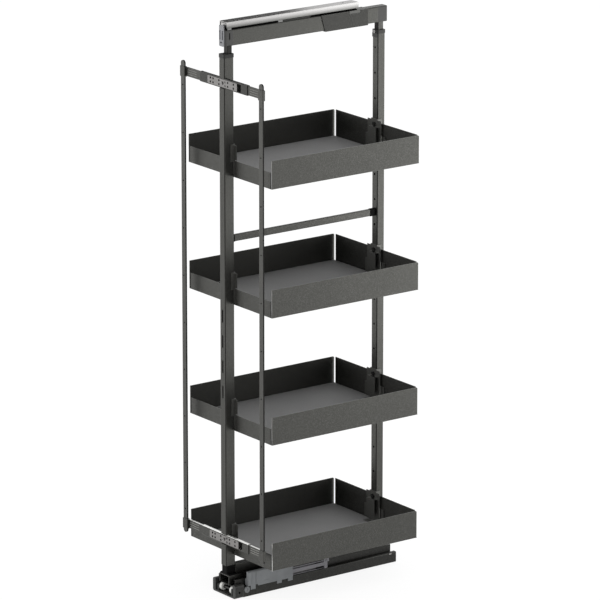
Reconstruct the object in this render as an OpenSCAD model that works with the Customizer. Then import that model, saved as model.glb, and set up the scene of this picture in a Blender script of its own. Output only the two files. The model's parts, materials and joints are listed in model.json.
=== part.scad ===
// Pull-out pantry frame: floor runner, telescopic uprights, hanging trays, top guide and door frame.
// Front (door side) is -Y, up is +Z, and the origin lies under the middle of the floor rail.

/* [Floor rail] */
// Width of the floor rail
rail_w = 94.4; // [90:0.2:110]
// Height of the floor rail
rail_h = 27.5; // [27:0.5:30]
// Length of the floor rail with its front cap
base_l = 498; // [470:1:540]
// Sheet thickness of the rail
rail_t = 2; // [1.5:0.1:2.2]
// Width of each inward lip of the rail
rail_lip = 7.2; // [5:0.1:8]
// Bend radius of the rail
rail_bend = 3; // [2.5:0.5:4]
// Distance between the floor screws across the rail
floor_dx = 48; // [40:1:54]
// Distance between the floor screws along the rail
floor_dy = 384; // [256:32:400]
// Radius of the floor screw holes
floor_hole_r = 2.6; // [2:0.1:3.5]
// Length of the front cap that shows ahead of the rail
cap_l = 27; // [25:1:34]
// Height of the front cap
cap_h = 34.5; // [30:0.5:38]
// Length of the cap's plug inside the rail
cap_plug_l = 16; // [8:1:30]

/* [Rollers] */
// Radius of the white front rollers
front_roller_r = 10; // [8:0.25:10.5]
// Width of each front roller
front_roller_w = 10; // [7:0.5:11]
// Distance from the middle to the inner face of a front roller
front_roller_x = 16; // [14:0.5:18]
// Radius of the rear rollers of the middle runner
runner_roller_r = 11; // [9:0.25:11.25]
// Width of each rear roller of the middle runner
runner_roller_w = 6.5; // [5:0.1:7]
// Radius of the rollers of the lower beam
beam_roller_r = 7; // [5.5:0.25:7.5]
// Width of each roller of the lower beam
beam_roller_w = 8.5; // [6:0.5:9]
// Radius of every roller axle
axle_r = 3; // [2:0.1:3.2]

/* [Middle runner] */
// Width of the middle runner
runner_w = 70; // [68:0.5:72]
// Sheet thickness of the middle runner
runner_t = 2; // [1.5:0.1:2.2]
// Length of the middle runner
runner_l = 480; // [440:1:490]
// Height of the runner's upper channel above its web
runner_up = 17.7; // [16.5:0.1:20]
// Depth of the runner's lower channel under its web
runner_down = 17; // [15:0.5:18]
// Width of each top lip of the runner
runner_lip = 6; // [3:0.5:6]

/* [Lower beam] */
// Width of the lower beam
beam_w = 40; // [36:1:41]
// Height of the lower beam
beam_h = 23; // [20:0.5:26]
// Sheet thickness of the lower beam
beam_t = 2; // [1.5:0.1:3]
// Height of the lower beam's spine between the feet
spine_h = 22.8; // [18:0.2:24]
// Distance of the roller axles from the rear end
axle_back = 15; // [12:0.5:40]

/* [Posts] */
// Width of both posts
post_w = 22; // [21:0.5:26]
// Depth of the front post
front_post_d = 28; // [28:0.5:34]
// Depth of the rear post
rear_post_d = 22; // [21:0.5:28]
// Wall of both posts
post_t = 1.5; // [1.2:0.1:1.8]
// Corner radius of both posts
post_r = 2.5; // [2:0.1:3]
// Height of both posts above the upper crossbar
post_over = 62; // [52:0.5:70]
// Height of the black feet under the posts
foot_h = 24; // [16:1:30]
// Pitch of the holes and slots in the posts
hole_pitch = 64; // [64:64:64]
// Radius of the round holes in the posts
post_hole_r = 3.1; // [3.1:0.1:3.5]
// Length of the slots in the front post
slot_l = 33; // [20:1:40]
// Width of the slots in the front post
slot_w = 5; // [4:0.1:6]
// Height of the lowest slot's centre
slot_z = 522; // [500:1:560]
// Number of slots in the front post
slot_n = 4; // [2:1:4]
// Height of the middle bar's lower edge
mid_bar_z = 897.5; // [860:0.5:980]
// Height of the middle bar
mid_bar_h = 17.2; // [14:0.2:26]
// Thickness of the middle bar
mid_bar_w = 8; // [6:0.5:10]

/* [Telescopic top] */
// Width of the inner tubes
inner_w = 16; // [14:0.5:17]
// Depth of the front inner tube
inner_front_d = 13.3; // [10:0.1:13.6]
// Depth of the rear inner tube
inner_rear_d = 16; // [12:0.5:17]
// Wall of the inner tubes
inner_t = 1.2; // [1:0.1:2]
// Length of the inner tubes below the top beam
inner_l = 427; // [380:1:440]
// Height of the collars above the post ends
collar_h = 9; // [9:0.5:14]
// Length of the collar plugs inside the posts
collar_plug = 8; // [5:1:15]
// Gap between the collars and the top beam
collar_gap = 19.5; // [16:0.5:26]
// Height of the top beam
top_beam_h = 39.5; // [36:0.5:46]
// Wall of the top beam
top_beam_t = 1.5; // [1.2:0.1:2.5]
// Length of each end block of the top beam
end_block_l = 25; // [23:0.5:28]
// Start of the top sleeve along the beam
sleeve_y0 = 39; // [0:1:80]
// End of the top sleeve along the beam
sleeve_y1 = 181; // [160:1:195]
// Wall of the top sleeve
sleeve_t = 2; // [1:0.1:2.5]
// Slant of the sleeve's front edge, along the beam
sleeve_slant = 12; // [0:1:20]

/* [Top guide] */
// Width of the cabinet profile
guide_w = 29; // [28:0.5:34]
// Height of the cabinet profile
guide_h = 14.5; // [13:0.5:17]
// Length of the cabinet profile
guide_l = 395; // [380:1:420]
// Sheet thickness of the guide profiles
guide_t = 1.4; // [1.2:0.1:1.5]
// Clear gap between the guide profiles
guide_gap = 0.4; // [0.3:0.05:0.5]
// Distance between the cabinet screws
guide_screw_dy = 320; // [256:32:320]
// Radius of the cabinet screw holes
guide_hole_r = 2.25; // [2:0.05:2.5]
// Width of the pale front clip
clip_w = 17; // [15:0.5:21]

/* [Trays] */
// Width of a tray
tray_w = 345.4; // [320:0.2:400]
// Length of a tray
tray_l = 444.5; // [440:0.5:450]
// Height of the side and rear panels
tray_h = 70.3; // [60:0.1:78]
// Height of the low front panel
tray_front_h = 41; // [30:0.5:50]
// Sheet thickness of the trays
tray_t = 1.5; // [1:0.1:2]
// Height of the lowest tray's underside
tray_z = 103; // [100:1:108]
// Distance from one tray to the next
tray_pitch = 320; // [320:64:320]
// Open slit at each tray corner
tray_slit = 6; // [2:0.5:12]
// Half width of the gap in the front and rear panels around the posts
panel_gap = 22; // [20:0.5:24]
// How far a post reaches into the tray's outline
post_in = 5; // [3:0.1:6]
// Thickness of the tray mats
mat_t = 2; // [1:0.1:4]
// Height of the hangers
hanger_h = 80; // [77:0.5:90]
// Sheet thickness of the hangers
hanger_t = 1.5; // [1:0.1:2]
// Height of a tray's pins above its underside
pin_up = 67; // [66:0.5:70]
// Radius of the pins that carry the trays
pin_r = 3; // [2.4:0.05:3]
// Lift that brings the pin heads to the wide end of their keyholes
tray_lift = 16; // [14:0.5:20]

/* [Door frame] */
// Distance between the two door strips
strip_dx = 322.8; // [300:0.2:360]
// Width of a door strip
strip_w = 15.3; // [12:0.1:18]
// Thickness of a door strip
strip_t = 4; // [3:0.1:5]
// Length of a door strip
strip_l = 1202; // [1150:1:1260]
// Height of the door strips' lower end
strip_z = 121; // [110:1:130]
// Distance of the lower crossbar from the strips' lower ends
crossbar_low = 23; // [20:0.5:30]
// Distance of the upper crossbar from the strips' upper ends
crossbar_high = 27.5; // [20:0.5:34]
// Height of the crossbar sleeves
cross_h = 25.5; // [25:0.5:32]
// Depth of the crossbar sleeves
cross_d = 8.6; // [8:0.1:8.8]
// Wall of the crossbar sleeves
cross_t = 1.5; // [1:0.1:1.8]
// Length of the crossbar sleeves
cross_l = 194; // [180:1:210]
// Sideways place of the crossbar sleeves
cross_x = 5; // [2:0.5:6]
// Length of the perforated plates
plate_l = 121.5; // [110:0.5:126]
// Height of the perforated plates
plate_h = 19.5; // [17:0.5:20.5]
// Thickness of the perforated plates
plate_t = 1.8; // [1.2:0.1:2]
// Sideways travel of the door frame
door_travel = 15; // [8:0.5:15]
// Inward travel of each crossbar arm
arm_in = 6; // [3:0.5:6]
// Number of screw holes in each strip
strip_holes = 10; // [4:2:14]
// Distance between the strip's screw holes
strip_hole_dz = 120; // [60:1:125]
// Radius of the strip's screw holes
strip_hole_r = 2.25; // [1.5:0.05:2.5]

/* [Soft close] */
// Width of the soft-close housing
soft_w = 13; // [12.5:0.1:14]
// Length of the soft-close housing
soft_l = 136; // [130:1:150]
// Height of the soft-close housing above the rail
soft_h = 36.5; // [34:0.5:40]
// Distance of the soft-close housing behind the rail's front end
soft_back = 11; // [9:0.5:14]
// Length of the catch track behind the housing
track_l = 108; // [100:1:120]
// Travel of the soft-close catch
catch_travel = 50; // [40:1:50]
// Radius of the damper cylinder
damper_r = 4.5; // [4:0.1:4.6]
// Mean radius of the closing spring
spring_r = 3; // [2.6:0.1:3.4]
// Wire radius of the closing spring
wire_r = 0.5; // [0.35:0.05:0.6]
// Number of curls in the closing spring
spring_turns = 24; // [12:1:30]

/* [Hidden] */
$fn = 48;
// How far a cut runs past the face it starts from
cut = 1;
// Clearances: sliding flat faces, pieces seated in one another, rolling faces, shafts in bores, pressed pins
slide_gap = 0.3;
seat_gap = 0.1;
roll_gap = 0.3;
shaft_gap = 0.08;
press_gap = 0.05;

// Floor runner, from the rail's floor up to the lower beam
roller_rise = 3;
glide_t = 2.4;
rail_in = rail_w / 2 - rail_t;
front_roller_z = rail_t + roller_rise + front_roller_r;
web_z = front_roller_z + front_roller_r + roll_gap;
web_top = web_z + runner_t;
runner_top = web_top + runner_up;
runner_roller_z = rail_t + roll_gap + runner_roller_r;
beam_roller_z = web_top + roll_gap + beam_roller_r;
beam_z = web_top + glide_t + roll_gap;
beam_top = beam_z + beam_h;
cap_y0 = -base_l / 2;
rail_y0 = cap_y0 + cap_l;
front_roller_y = cap_y0 + cap_l / 2;
runner_y0 = -runner_l / 2;
runner_y1 = runner_l / 2;
axle_y = runner_y1 - axle_back;
// Free space between a rail or beam wall and the roller beside it, and what shows of the axle's end
wheel_gap = 1.5;
axle_end = 0.5;

// Posts: their faces follow from the trays they carry, their height from the door frame
tray_y0 = -227;
tray_y1 = tray_y0 + tray_l;
front_face = tray_y0 + post_in;
front_y0 = front_face - front_post_d;
front_mid_y = front_y0 + front_post_d / 2;
rear_face = tray_y1 - post_in;
rear_mid_y = rear_face + rear_post_d / 2;
cross_zs = [strip_z + crossbar_low, strip_z + strip_l - crossbar_high];
post_z = beam_top + foot_h;
post_top = cross_zs[1] + post_over;

// Inner tubes and collars
front_tube_gap = 1.2;
rear_tube_gap = 1.5;
inner_front_y1 = front_face - post_t - front_tube_gap;
inner_front_y0 = inner_front_y1 - inner_front_d;
inner_rear_y0 = rear_face + post_t + rear_tube_gap;
inner_rear_y1 = inner_rear_y0 + inner_rear_d;
collar_top = post_top + collar_h;
collar_wall = 1.2;

// Top beam and guide
front_block_wall = 1.7;
rear_block_wall = 3.5;
rear_block_more = 3;
inner_seat = 25;
guide_rise = 6;
guide_set_back = 3.3;
beam2_z = collar_top + collar_gap;
beam2_top = beam2_z + top_beam_h;
block_front_y1 = inner_front_y1 + front_block_wall;
block_front_y0 = block_front_y1 - end_block_l;
block_rear_y0 = inner_rear_y0 - rear_block_wall;
block_rear_y1 = block_rear_y0 + end_block_l + rear_block_more;
guide_y0 = block_front_y0 + guide_set_back;
guide_y1 = guide_y0 + guide_l;
guide_mid_y = (guide_y0 + guide_y1) / 2;
guide_z = beam2_top + guide_rise;
guide_top = guide_z + guide_h;

// Door frame: the crossbars lie in notches of the front post, ahead of its inner tube
notch_wall = 1.3;
notch_gap = 0.2;
cross_gap = 0.55;
strip_proud = 2.4;
plate_proud = 0.8;
plate_shift = 3.8;
clip_wall = 1.9;
clip_bite = 0.4;
notch_h = cross_h + 2 * slide_gap;
notch_y1 = inner_front_y0 - notch_gap;
notch_y0 = notch_y1 - notch_wall;
cross_y1 = notch_y0 - cross_gap;
cross_y0 = cross_y1 - cross_d;
strip_y0 = cross_y0 - strip_proud;
strip_x = strip_dx / 2;
plate_y0 = cross_y0 - plate_proud;
plate_x = cross_x - plate_shift;
boss_w = 14;
boss_h = 16;
arm_h = cross_h - 2 * cross_t - 2 * slide_gap;
arm_d = cross_d - 2 * cross_t - 2 * slide_gap;
arm_y0 = cross_y0 + cross_t + slide_gap;
clip_x0 = strip_x - strip_w / 2 - clip_wall;
clip_x1 = strip_x + strip_w / 2 + clip_wall;
arm_x1 = clip_x0 + clip_wall - clip_bite;

// Soft-close unit, on the right lip of the rail
soft_out = 2.3;
damper_up = 6.5;
groove_up = 17.5;
groove_in = 5.8;
track_in = 1;
track_wall = 1.5;
track_h = 16.8;
track_end_t = 8;
catch_room = 25;
catch_gap = 0.4;
claw_lead = 1.5;
activator_rise = 2;
activator_t = 4;
cylinder_front = 6.5;
cylinder_back = 20;
rod_r = 1.5;
soft_x1 = rail_w / 2 + soft_out;
soft_x0 = soft_x1 - soft_w;
soft_y = rail_y0 + soft_back;
soft_y1 = soft_y + soft_l;
soft_top = rail_h + soft_h;
damper_x = soft_x0 + soft_w / 2;
damper_z = rail_h + damper_up;
groove_z = rail_h + groove_up;
groove_x = soft_x0 + groove_in;
track_y1 = soft_y1 + track_l;
track_x0 = soft_x0 + track_in;
track_x1 = soft_x1 - track_in;
activator_z = runner_top + activator_rise;
activator_y1 = track_y1 - track_end_t - catch_room;
catch_y0 = activator_y1 + catch_gap;
cylinder_y0 = soft_y + cylinder_front;
cylinder_y1 = soft_y1 - cylinder_back;

TRAYS = [1, 2, 3, 4];

// Finishes as the object shows them
anthracite = [0.33, 0.33, 0.32];
dark_steel = [0.25, 0.25, 0.25];
block_grey = [0.3, 0.3, 0.29];
black_plastic = [0.08, 0.08, 0.08];
zinc = [0.75, 0.75, 0.74];
soft_grey = [0.44, 0.46, 0.47];
mat_grey = [0.5, 0.5, 0.5];
roller_white = [0.9, 0.9, 0.88];
clip_grey = [0.68, 0.72, 0.74];

// A block given by its two corners
module block(low, high) {
    translate(low) cube(high - low);
}

// A rounded rectangle about the origin
module rounded(w, d, r) {
    square([w - 2 * r, d], center = true);
    square([w, d - 2 * r], center = true);
    for (sx = [-1, 1], sy = [-1, 1])
        translate([sx * (w / 2 - r), sy * (d / 2 - r)]) circle(r);
}

// A profile drawn in X and Z, drawn out along Y
module along_y(y0, y1) {
    translate([0, y1, 0]) rotate([90, 0, 0]) linear_extrude(y1 - y0) children();
}

// A profile drawn in Y and Z, drawn out along X
module along_x(x0, x1) {
    translate([x0, 0, 0]) rotate([90, 0, 90]) linear_extrude(x1 - x0) children();
}

module rod_x(x0, x1, y, z, r) {
    along_x(x0, x1) translate([y, z]) circle(r);
}

module rod_y(y0, y1, x, z, r) {
    along_y(y0, y1) translate([x, z]) circle(r);
}

module both_sides() {
    children();
    mirror([1, 0, 0]) children();
}

// A rectangular tube that stands from z0 to z1
module post_tube(w, d, t, r, y, z0, z1) {
    translate([0, y, z0]) linear_extrude(z1 - z0) difference() {
        rounded(w, d, r);
        rounded(w - 2 * t, d - 2 * t, max(r - t, 0.3));
    }
}

// A roller on an axle along X, with a dished outer face and a crowned rim
module roller(x0, w, y, z, r) {
    rim = 1;
    dish = 1.2;
    bore = axle_r + shaft_gap;
    hub = axle_r + 1.4;
    dish_r = r - 2 * rim;
    translate([x0, y, z]) rotate([0, 90, 0]) rotate_extrude() polygon([
        [bore, 0], [r - rim, 0], [r, rim], [r, w - rim], [r - rim, w],
        [dish_r, w], [dish_r, w - dish], [hub, w - dish], [hub, w], [bore, w]
    ]);
}

// FLOOR RAIL

module base_rail() {
    opening = 2 * (rail_in - rail_lip);
    inner_bend = rail_bend - rail_t + 0.3;
    color(dark_steel) difference() {
        along_y(rail_y0, base_l / 2) difference() {
            translate([0, rail_h / 2]) rounded(rail_w, rail_h, rail_bend);
            translate([0, rail_h / 2]) rounded(2 * rail_in, rail_h - 2 * rail_t, inner_bend);
            translate([-opening / 2, rail_h / 2]) square([opening, rail_h]);
        }
        for (sx = [-1, 1], sy = [-1, 1])
            translate([sx * floor_dx / 2, sy * floor_dy / 2, -cut])
                cylinder(r = floor_hole_r, h = rail_t + 2 * cut);
    }
}

// Black end cap: two cheeks, a floor, and the two ribs that hold the roller axle
rib_gap = 0.6;
rib_t = 3.2;

module base_front_cap() {
    way = runner_w / 2 + 1.3;
    floor_z = front_roller_z - front_roller_r - 1;
    outer_x = front_roller_x + front_roller_w + rib_gap;
    rib_top = front_roller_z + 2 * axle_r;
    rib_ends = [cap_y0 + 2, rail_y0 - 1];
    corner = 5;
    plug_h = rail_h - 2 * rail_t - 1;
    groove_n = 6;
    groove_w = 1.2;
    groove_depth = 0.9;
    groove_margin = 4;
    groove_pitch = (cap_l - 2 * groove_margin) / (groove_n - 1);
    color(black_plastic) difference() {
        union() {
            along_y(cap_y0, rail_y0) difference() {
                translate([0, cap_h / 2]) rounded(rail_w, cap_h, corner);
                translate([-way, floor_z]) square([2 * way, cap_h]);
            }
            along_y(rail_y0, rail_y0 + cap_plug_l) difference() {
                translate([-rail_in + seat_gap, rail_t]) square([2 * (rail_in - seat_gap), plug_h]);
                translate([-way, floor_z]) square([2 * way, rail_h]);
                translate([-rail_in, 0]) square([rail_bend, rail_bend]);
                translate([rail_in - rail_bend, 0]) square([rail_bend, rail_bend]);
            }
            both_sides()
                block([outer_x, rib_ends[0], floor_z - 1], [outer_x + rib_t, rib_ends[1], rib_top]);
        }
        rod_x(-rail_w, rail_w, front_roller_y, front_roller_z, axle_r + press_gap);
        both_sides() for (i = [0 : groove_n - 1]) {
            y = cap_y0 + groove_margin + i * groove_pitch;
            block([rail_w / 2 - groove_depth, y - groove_w / 2, corner],
                  [rail_w / 2 + cut, y + groove_w / 2, cap_h - corner]);
        }
    }
}

module front_roller_axle() {
    reach = front_roller_x + front_roller_w + rib_gap + rib_t;
    spacer = front_roller_x - rib_gap;
    spacer_wall = 1.2;
    color(dark_steel) {
        rod_x(-reach, reach, front_roller_y, front_roller_z, axle_r);
        rod_x(-spacer, spacer, front_roller_y, front_roller_z, axle_r + spacer_wall);
    }
}

module front_rollers() {
    color(roller_white) both_sides()
        roller(front_roller_x, front_roller_w, front_roller_y, front_roller_z, front_roller_r);
}

// Grey round head on the right wall of the rail, with a cross slot
module side_adjuster() {
    head_r = 8;
    head_t = 2.8;
    edge = 0.8;
    margin = 0.4;
    slot_half = [4, 0.7];
    slot_depth = 1;
    y = rail_y0 + head_r + margin;
    z = rail_h - head_r - margin;
    slot_x = rail_w / 2 + head_t - slot_depth;
    color(soft_grey) difference() {
        translate([rail_w / 2, y, z]) rotate([0, 90, 0]) rotate_extrude() polygon([
            [0, 0], [head_r, 0], [head_r, head_t - edge], [head_r - edge, head_t], [0, head_t]
        ]);
        for (half = [slot_half, [slot_half[1], slot_half[0]]])
            block([slot_x, y - half[0], z - half[1]], [slot_x + slot_depth + cut, y + half[0], z + half[1]]);
    }
}

// SOFT CLOSE

// Housing on the rail's lip, with a groove for the activator and hooks that clip over the rail wall
module soft_close_housing() {
    chamber = damper_r + 3 * seat_gap;
    edge = 3;
    hook_l = 14.5;
    hook_z = rail_h - 10.5;
    hook_ys = [soft_y + 8, soft_y1 - 48, soft_y1 - hook_l];
    skirt_y = soft_y + 30;
    skirt_z = rail_h - 3.5;
    lap = 1;
    line_w = 1.2;
    line_depth = 0.9;
    seam_y = soft_y + 23;
    slit_y = soft_y + 10.5;
    slot = [soft_y + 48, soft_y + 61];
    slot_z = rail_h + 5.5;
    line_x = soft_x1 - line_depth;
    color(soft_grey) difference() {
        union() {
            along_y(soft_y, soft_y1) polygon([
                [soft_x0, rail_h], [soft_x1, rail_h], [soft_x1, soft_top - edge],
                [soft_x1 - edge, soft_top], [groove_x, soft_top],
                [groove_x, groove_z], [soft_x0, groove_z]
            ]);
            for (y = hook_ys)
                block([rail_w / 2 + seat_gap, y, hook_z], [soft_x1, y + hook_l, rail_h + lap]);
            block([rail_w / 2 + seat_gap, skirt_y, skirt_z], [soft_x1, soft_y1, rail_h + lap]);
        }
        block([damper_x - chamber, cylinder_y0 - seat_gap, damper_z - chamber],
              [damper_x + chamber, soft_y1 + cut, damper_z + chamber]);
        block([line_x, seam_y, rail_h - cut], [soft_x1 + cut, seam_y + line_w, soft_top + cut]);
        block([line_x, slit_y, rail_h + edge], [soft_x1 + cut, slit_y + line_w, soft_top - 2 * edge]);
        block([line_x, slot[0], slot_z], [soft_x1 + cut, slot[1], slot_z + line_w]);
    }
}

// Open channel behind the housing, cut away at its lower right, with a thin rim above and an end block
module soft_close_track() {
    end_hole_r = 2;
    head_over = [3, 5];
    head_top = activator_z + activator_t + 2;
    head_z = rail_h + track_h;
    open_w = 4;
    open_h = 7.8;
    open_end = 2;
    rim_up = 3.2;
    rim_h = 2;
    end_y0 = track_y1 - track_end_t;
    color(soft_grey) difference() {
        union() {
            along_y(soft_y1, track_y1) difference() {
                translate([track_x0, rail_h]) square([track_x1 - track_x0, track_h]);
                translate([track_x0 + track_wall, rail_h + track_wall])
                    square([track_x1 - track_x0 - 2 * track_wall, track_h]);
            }
            block([track_x0, end_y0, rail_h], [track_x1, track_y1, head_z + cut]);
            block([track_x0, end_y0 - head_over[0], head_z], [track_x1, track_y1 + head_over[1], head_top]);
            block([track_x1 - track_wall, soft_y1, head_z + rim_up],
                  [track_x1, end_y0, head_z + rim_up + rim_h]);
        }
        block([track_x1 - open_w, soft_y1 + open_end, rail_h - cut],
              [track_x1 + cut, end_y0 - open_end, rail_h + open_h]);
        rod_x(track_x0 - cut, track_x1 + cut, end_y0 + track_end_t / 2, (head_z + head_top) / 2, end_hole_r);
    }
}

module damper_cylinder() {
    floor_t = 3;
    bore_r = rod_r + 1.5;
    color(zinc) difference() {
        rod_y(cylinder_y0, cylinder_y1, damper_x, damper_z, damper_r);
        rod_y(cylinder_y0 + floor_t, cylinder_y1 + cut, damper_x, damper_z, bore_r);
    }
}

// Closing spring: one round wire wound along Y, between the damper and the catch
spring_y0 = cylinder_y1 + seat_gap + wire_r;
spring_y1 = catch_y0 + claw_lead - seat_gap - wire_r;
curl_rings = 8;
wire_sides = 6;
spring_rings = spring_turns * curl_rings;
spring_rise = (spring_y1 - spring_y0) / spring_turns;

function coil_centre(i) =
    let (turn = i * 360 / curl_rings, y = spring_y0 + spring_rise * i / curl_rings)
    [damper_x + spring_r * cos(turn), y, damper_z + spring_r * sin(turn)];

function coil_ring(i) =
    let (turn = i * 360 / curl_rings, centre = coil_centre(i), out = [cos(turn), 0, sin(turn)])
    [for (s = [0 : wire_sides - 1])
        centre + wire_r * (cos(s * 360 / wire_sides) * out + sin(s * 360 / wire_sides) * [0, 1, 0])];

function ring_gap(i) =
    min([for (a = coil_ring(i), b = coil_ring(i + curl_rings)) norm(a - b)]);

echo(least_gap_between_curls = min([for (i = [0 : spring_rings - curl_rings]) ring_gap(i)]));

module closing_spring() {
    points = [for (i = [0 : spring_rings]) each coil_ring(i)];
    last = spring_rings * wire_sides;
    start_cap = [for (s = [1 : wire_sides - 2]) [0, s, s + 1]];
    end_cap = [for (s = [1 : wire_sides - 2]) [last, last + s + 1, last + s]];
    walls = [for (i = [0 : spring_rings - 1], s = [0 : wire_sides - 1])
        let (a = i * wire_sides + s, b = i * wire_sides + (s + 1) % wire_sides)
        each [[a, a + wire_sides, b], [b, a + wire_sides, b + wire_sides]]];
    color(zinc) polyhedron(points, concat(start_cap, walls, end_cap));
}

// Catch in the track: a body on the damper rod and a claw that the activator pushes
rod_seat = 10;

module soft_close_catch() {
    room = track_wall + slide_gap + seat_gap;
    body_l = 17;
    claw_w = 2.2;
    claw_l = 7.5;
    body_y0 = catch_y0 + claw_lead;
    body_top = rail_h + track_h - 1;
    color(black_plastic) difference() {
        union() {
            block([track_x0 + room, body_y0, rail_h + room], [track_x1 - room, body_y0 + body_l, body_top]);
            block([track_x0 + room, catch_y0, body_top - 1],
                  [track_x0 + room + claw_w, catch_y0 + claw_l, activator_z + activator_t]);
        }
        rod_y(body_y0 - cut, body_y0 + rod_seat, damper_x, damper_z, rod_r + press_gap);
    }
}

module damper_rod() {
    piston_l = 4;
    piston_r = rod_r + 1.2;
    piston_y0 = cylinder_y0 + 5 + catch_travel;
    color(zinc) {
        rod_y(piston_y0, catch_y0 + claw_lead + rod_seat - seat_gap, damper_x, damper_z, rod_r);
        rod_y(piston_y0, piston_y0 + piston_l, damper_x, damper_z, piston_r);
    }
}

// MIDDLE RUNNER

// H-shaped profile: the lower channel runs on the front rollers, the upper one guides the lower beam
module middle_runner() {
    half = runner_w / 2;
    wall_z = web_z - runner_down;
    window_n = 5;
    window_l = 40;
    window_w = 12;
    window_end = 60;
    window_pitch = (runner_l - 2 * window_end) / window_n;
    window_y0 = runner_y0 + window_end + (window_pitch - window_l) / 2;
    color(dark_steel) difference() {
        along_y(runner_y0, runner_y1) both_sides() {
            translate([half - runner_t, wall_z]) square([runner_t, runner_top - wall_z]);
            translate([-cut, web_z]) square([half + cut, runner_t]);
            translate([half - runner_t - runner_lip, runner_top - runner_t])
                square([runner_lip + cut, runner_t]);
        }
        rod_x(-rail_w, rail_w, axle_y, runner_roller_z, axle_r + press_gap);
        for (i = [0 : window_n - 1])
            block([-window_w / 2, window_y0 + i * window_pitch, web_z - cut],
                  [window_w / 2, window_y0 + i * window_pitch + window_l, web_top + cut]);
    }
}

module runner_axle() {
    reach = runner_w / 2 + wheel_gap + runner_roller_w + axle_end;
    color(zinc) rod_x(-reach, reach, axle_y, runner_roller_z, axle_r);
}

module runner_rollers() {
    color(roller_white) both_sides()
        roller(runner_w / 2 + wheel_gap, runner_roller_w, axle_y, runner_roller_z, runner_roller_r);
}

module runner_glide() {
    glide_l = 20;
    margin = 4;
    half = beam_w / 2 - margin;
    y0 = runner_y0 + margin;
    color(black_plastic) block([-half, y0, web_top], [half, y0 + glide_l, web_top + glide_t]);
}

// LOWER BEAM AND POSTS

// Channel that slides in the middle runner, with a hollow spine between the feet of the posts
module lower_beam() {
    half = beam_w / 2;
    spine_half = post_w / 2;
    y0 = front_y0 + foot_back;
    spine_y0 = front_face + seat_gap;
    spine_y1 = rear_face - seat_gap;
    color(anthracite) difference() {
        union() {
            block([-half, y0, beam_z], [half, runner_y1, beam_top]);
            block([-spine_half, spine_y0, beam_top - beam_t], [spine_half, spine_y1, beam_top + spine_h]);
        }
        block([-half + beam_t, y0 - cut, beam_z - cut], [half - beam_t, runner_y1 + cut, beam_top - beam_t]);
        block([-spine_half + beam_t, spine_y0 - cut, beam_top],
              [spine_half - beam_t, spine_y1 + cut, beam_top + spine_h - beam_t]);
        rod_x(-half - cut, half + cut, axle_y, beam_roller_z, axle_r + press_gap);
    }
}

module beam_axle() {
    reach = beam_w / 2 + wheel_gap + beam_roller_w + axle_end;
    color(zinc) rod_x(-reach, reach, axle_y, beam_roller_z, axle_r);
}

module beam_rollers() {
    color(roller_white) both_sides()
        roller(beam_w / 2 + wheel_gap, beam_roller_w, axle_y, beam_roller_z, beam_roller_r);
}

// Arm on the right side of the lower beam that meets the soft-close catch
module soft_close_activator() {
    seat_t = 1.6;
    seat_l = 14;
    seat_h = 15;
    arm_l = 8;
    arm_end = groove_x - 0.8;
    half = beam_w / 2;
    color(dark_steel) {
        block([half, activator_y1 - seat_l, beam_top - seat_h], [half + seat_t, activator_y1, beam_top]);
        block([half, activator_y1 - arm_l, activator_z], [arm_end, activator_y1, activator_z + activator_t]);
    }
}

// Black foot between the beam and a post, with a plug inside the post
foot_back = 2;

module foot(y, d) {
    plug_h = 26;
    plug_play = 2 * (post_t + seat_gap);
    flange_h = 3;
    translate([0, y, beam_top]) {
        linear_extrude(foot_h) rounded(post_w, d, post_r);
        linear_extrude(flange_h) rounded(beam_w - beam_t, d, post_r);
        translate([0, 0, foot_h]) linear_extrude(plug_h)
            rounded(post_w - plug_play, d - plug_play, max(post_r - post_t, 0.3));
    }
}

module front_foot() {
    color(black_plastic) foot(front_mid_y + foot_back / 2, front_post_d - foot_back);
}

module rear_foot() {
    color(black_plastic) foot(rear_mid_y, rear_post_d);
}

// Round holes on the face that looks at the trays, one pitch apart
module post_holes(y0, y1) {
    lowest_pin = tray_z + pin_up;
    end_room = 30;
    first = lowest_pin - hole_pitch * floor((lowest_pin - post_z - end_room) / hole_pitch);
    for (z = [first : hole_pitch : post_top - end_room])
        rod_y(y0, y1, 0, z, post_hole_r);
}

// Front post: slots on the front face and a notch for each crossbar, backed by a welded plate
module front_post() {
    plate_over = 6;
    slot_run = slot_l - slot_w;
    color(anthracite) difference() {
        union() {
            difference() {
                post_tube(post_w, front_post_d, post_t, post_r, front_mid_y, post_z, post_top);
                for (z = cross_zs)
                    block([-post_w, front_y0 - cut, z - notch_h / 2], [post_w, notch_y0, z + notch_h / 2]);
            }
            for (z = cross_zs)
                block([-post_w / 2 + post_t / 2, notch_y0, z - notch_h / 2 - plate_over],
                      [post_w / 2 - post_t / 2, notch_y1, z + notch_h / 2 + plate_over]);
        }
        for (i = [0 : slot_n - 1])
            along_y(front_y0 - cut, front_y0 + post_t + cut) translate([0, slot_z + i * hole_pitch]) {
                square([slot_w, slot_run], center = true);
                for (s = [-1, 1])
                    translate([0, s * slot_run / 2]) circle(slot_w / 2);
            }
        for (z = cross_zs)
            rod_y(notch_y0 - cut, notch_y1 + cut, 0, z, screw_r + seat_gap);
        post_holes(front_face - post_t - cut, front_face + cut);
    }
}

module rear_post() {
    color(anthracite) difference() {
        post_tube(post_w, rear_post_d, post_t, post_r, rear_mid_y, post_z, post_top);
        post_holes(rear_face - cut, rear_face + post_t + cut);
    }
}

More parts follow.
